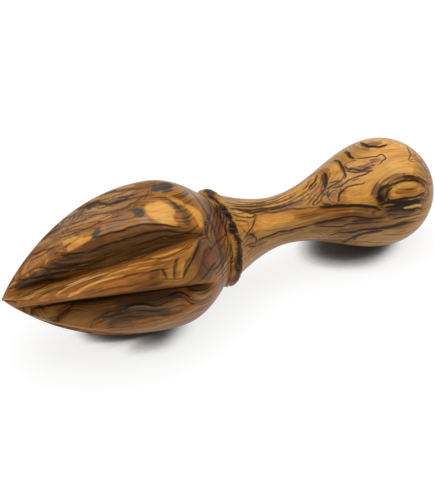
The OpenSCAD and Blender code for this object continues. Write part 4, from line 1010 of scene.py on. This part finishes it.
def paint(mesh):
    # Gives a mesh, still upright, its figure as attributes of its points
    count = len(mesh.vertices)
    place = coordinates(mesh)
    z, angle = place[:, 2], np.arctan2(place[:, 0], place[:, 1])
    normals = coordinates(mesh, "normal")
    level = growthAt(place)
    plainLevel, plainShare = otherGrowth(z, angle)
    # A small waver, so that no drawn curve stays perfectly smooth
    waver = 0.09 * np.sin(z * 0.9 + 3 * np.sin(angle * 3 + 1))
    waver = waver + 0.05 * np.sin(z * 2.1 + 5 * np.sin(angle * 5))
    points = place + waver[:, None] * np.array([0.6, 0.5, 0.6])
    hidden = soften((np.cos(angle - math.radians(hiddenSide)) - 0.25) / 0.3)
    mixed = 0.5 + 0.5 * np.sin(level * 0.9 + 1.5 * np.sin(level * 0.37 + 1))
    onHandle = soften((z - 66) / 12)[:, None]
    base = np.array(tones["amber"]) * (1 - onHandle) * 0.78 + np.array(tones["honey"]) * 0.84 * onHandle
    base = base * (1 - mixed[:, None] * 0.25)
    far = np.array(tones["brown"]) * mixed[:, None] + np.array(tones["honey"]) * (1 - mixed[:, None])
    colour = base * (1 - hidden[:, None]) + far * hidden[:, None]
    for tone, strength, z0, angle0, length, width, turn in areas:
        turned = np.mod(angle - math.radians(angle0) + math.pi, 2 * math.pi) - math.pi
        around = turned * turnedRadius(np.array(z0 * 1.0))
        ahead = z - z0
        t = math.radians(turn)
        u = (ahead * math.cos(t) + around * math.sin(t)) / length
        v = (around * math.cos(t) - ahead * math.sin(t)) / width
        share = strength * np.exp(-(u * u + v * v) ** 1.3 * 0.9)[:, None]
        colour = colour * (1 - share) + np.array(tones[tone]) * share
    for tone, strength, width, soft, text in stripes:
        samples = drawn(text)
        near, gap, side, part = distanceTo(points, normals, samples, width + soft)
        taper = 1 - np.abs(2 * part - 1) ** 4
        share = (strength * soften((width * taper + soft - gap) / (2 * soft)) * soften(taper * 2))[:, None]
        colour[near] = colour[near] * (1 - share) + np.array(tones[tone]) * share
    edge = np.full(count, veinReach)
    depth = np.zeros(count)
    for _, width, darkness, fade, text in veins:
        samples = drawn(text)
        near, gap, side, part = distanceTo(points, normals, samples, veinReach)
        closed = np.linalg.norm(samples[0] - samples[-1]) < 0.5
        taper = np.ones(len(part)) if closed else 1 - np.abs(2 * part - 1) ** 6
        signed = gap - width * (0.25 + 0.75 * taper)
        if fade:
            # Late wood: the tone sinks towards the vein on one side
            reach = abs(fade)
            toneSide = (side * math.copysign(1, fade) > 0) * np.exp(-np.maximum(gap - width, 0) / reach * 2.2)
            colour[near] *= (1 - lateWood * darkness * toneSide * taper)[:, None]
        closer = signed < edge[near]
        edge[near[closer]] = signed[closer]
        depth[near[closer]] = darkness
    for name, values in (("veinEdge", edge), ("veinDepth", depth), ("growth", level), ("hidden", hidden),
                         ("along", z), ("plainGrowth", plainLevel), ("plainShare", plainShare)):
        mesh.attributes.new(name, "FLOAT", "POINT").data.foreach_set("value", values.astype(np.float32))
    shade = np.hstack([colour, np.ones((count, 1))]).astype(np.float32)
    mesh.attributes.new("tone", "FLOAT_COLOR", "POINT").data.foreach_set("color", shade.ravel())


# Looks of the wood. A streak is: across, lengthwise, detail, roughness. Spots are: stretch, detail.
woodLook = dict(roughness=0.36, specular=0.18, wide=(0.8, 0.03, 2.0, 0.5), fine=(1.3, 0.04, 2.0, 0.5),
                thin=(3.2, 0.08, 3.0, 0.6), fibre=((90, 1500, 1500), 3.0), cloud=((60, 130, 130), 3.0),
                torn=((500, 900, 900), 2.0), lineTone=(0.30, 0.19, 0.13, 1), lineShare=0.6, hairShare=0.55,
                veinTone=(0.020, 0.0065, 0.002, 1), veinShare=0.97, bump=0.25, bumpDepth=0.0002)


def makeWood(name):
    material = bpy.data.materials.new(name)
    material.use_nodes = True
    tree = material.node_tree
    shader = tree.nodes["Principled BSDF"]

    def attribute(name, output="Fac"):
        return out(addNode(tree, "ShaderNodeAttribute", {"attribute_name": name}), output)

    def streaks(kind):
        # Noise that is narrow across the growth lines and long along them
        across, lengthwise, detail, roughness = woodLook[kind]
        both = []
        for name in ("growth", "plainGrowth"):
            point = addNode(tree, "ShaderNodeCombineXYZ", X=attribute(name) * across,
                            Y=attribute("along") * lengthwise)
            both.append(out(addNode(tree, "ShaderNodeTexNoise", {"noise_dimensions": "2D"}, Vector=out(point),
                                    Scale=1.0, Detail=detail, Roughness=roughness)))
        return both[0] + (both[1] - both[0]) * attribute("plainShare")

    def spots(kind):
        stretch, detail = woodLook[kind]
        where = addNode(tree, "ShaderNodeTexCoord")
        mapping = addNode(tree, "ShaderNodeMapping", Vector=out(where, "Object"))
        mapping.inputs["Scale"].default_value = stretch
        return out(addNode(tree, "ShaderNodeTexNoise", Vector=out(mapping), Scale=1.0, Detail=detail))

    def mixed(factor, first, second, kind="MIX"):
        node = addNode(tree, "ShaderNodeMix", {"data_type": "RGBA", "blend_type": kind})
        plug(tree, factor, node.inputs["Factor"])
        for value, socket in ((first, node.inputs[6]), (second, node.inputs[7])):
            plug(tree, value, socket)
        return Wire(tree, node.outputs[2])

    hidden = attribute("hidden")
    tone = attribute("tone", "Color")
    wide, fine, thin = streaks("wide"), streaks("fine"), streaks("thin")
    fibre, cloud = spots("fibre"), spots("cloud")
    # Light places are calm and dark ones full of lines
    red = out(addNode(tree, "ShaderNodeSeparateColor", Color=tone), "Red")
    busy = ramp(red, 0.66, 0.3, 0.35, 1.0)
    lines = ramp(fine, 0.53, 0.64) * greater(busy, hidden)
    hairs = ramp(thin, 0.53, 0.62) * ramp(cloud, 0.3, 0.6, 0.35, 1.0) * busy
    shade = 1 + (wide - 0.5) * 0.35 + (cloud - 0.5) * 0.3 + (fibre - 0.5) * 0.4
    colour = mixed(1.0, tone, None, "MULTIPLY")
    greyed = addNode(tree, "ShaderNodeCombineColor", Red=shade, Green=shade * shade, Blue=shade * shade)
    tree.links.new(greyed.outputs[0], colour.socket.node.inputs[7])
    darker = mixed(1.0, colour, woodLook["lineTone"], "MULTIPLY")
    lined = lesser(lines * woodLook["lineShare"] + hairs * woodLook["hairShare"], 1)
    colour = mixed(lined, colour, darker)
    edge = attribute("veinEdge") + (spots("torn") - 0.5) * 0.25
    vein = ramp(edge, 0.16, -0.14) * attribute("veinDepth")
    colour = mixed(lesser(vein, woodLook["veinShare"]), colour, woodLook["veinTone"])
    tree.links.new(colour.socket, shader.inputs["Base Color"])
    plug(tree, woodLook["roughness"] + vein * 0.12 + (fibre - 0.5) * 0.12, shader.inputs["Roughness"])
    shader.inputs["Specular IOR Level"].default_value = woodLook["specular"]
    bump = addNode(tree, "ShaderNodeBump", Strength=woodLook["bump"], Distance=woodLook["bumpDepth"])
    plug(tree, fibre * 0.6 - lines * 0.3 - vein * 0.3, bump.inputs["Height"])
    tree.links.new(bump.outputs[0], shader.inputs["Normal"])
    return material


def roughen(mesh):
    # Torn end grain: short ridges that lean along the bead, more on the handle's side
    count = len(mesh.vertices)
    place = coordinates(mesh)
    angle = np.arctan2(place[:, 0], place[:, 1])
    share = np.clip((place[:, 2] - beadSizes["start"]) / beadSizes["width"], 0, 1)
    rng = np.random.default_rng(7)
    bumps = np.zeros(count)
    waves = 26
    for turns, lean in zip(rng.integers(14, 130, waves), rng.uniform(2, 9, waves)):
        bumps += np.sin(turns * angle + lean * share * 3 + rng.uniform(0, 6.28)) / waves ** 0.5
    radius = np.hypot(place[:, 0], place[:, 1])
    torn = beadSizes["rough"] * (np.clip(bumps, -1.8, 0.6) - 0.5)
    depth = torn * np.sin(share * math.pi) ** 0.5 * soften(share * 3 - 0.5)
    scale = np.where(radius > 1, 1 + depth / np.maximum(radius, 1), 1)
    place[:, :2] *= scale[:, None]
    mesh.vertices.foreach_set("co", place.astype(np.float32).ravel())


wood = makeWood("olive_wood")
headMesh = makeHead(wood)
print("head:", len(headMesh.vertices), "points")
halfTurn = np.linspace(0, math.pi, beadSizes["rows"])
beadHeights = beadSizes["start"] + beadSizes["width"] * (1 - np.cos(halfTurn)) / 2
beadMesh = turnedMesh("bead", beadHeights, beadRadius(beadHeights), beadSizes["columns"])
roughen(beadMesh)
swellTo = np.linspace(handleSizes["start"], handleSizes["knobAt"], handleSizes["bodyRows"])
quarterTurn = np.linspace(0, math.pi / 2, handleSizes["domeRows"])[1:-1]
domeTo = handleSizes["knobAt"] + (handleSizes["end"] - handleSizes["knobAt"]) * np.sin(quarterTurn)
handleHeights = np.concatenate([swellTo, domeTo, [handleSizes["end"] - handleSizes["endFlat"]]])
handleMesh = turnedMesh("handle", handleHeights, handleRadius(handleHeights), handleSizes["columns"])
for mesh in (headMesh, beadMesh, handleMesh):
    paint(mesh)
print("figure drawn:", len(areas), "areas,", len(stripes), "stripes,", len(veins), "veins")


def place(mesh, name, node, slot, material):
    layDown(mesh)
    if not mesh.materials:
        mesh.materials.append(material)
    piece = bpy.data.objects.new(name, mesh)
    bpy.context.scene.collection.objects.link(piece)
    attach(piece, "root")
    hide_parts(node)


place(headMesh, "fluted_head", "reamer_head", "olive_wood", wood)
place(beadMesh, "rough_bead", "collar_bead", "olive_wood_bead", wood)
place(handleMesh, "turned_handle", "handle", "olive_wood", wood)
print("pieces placed")
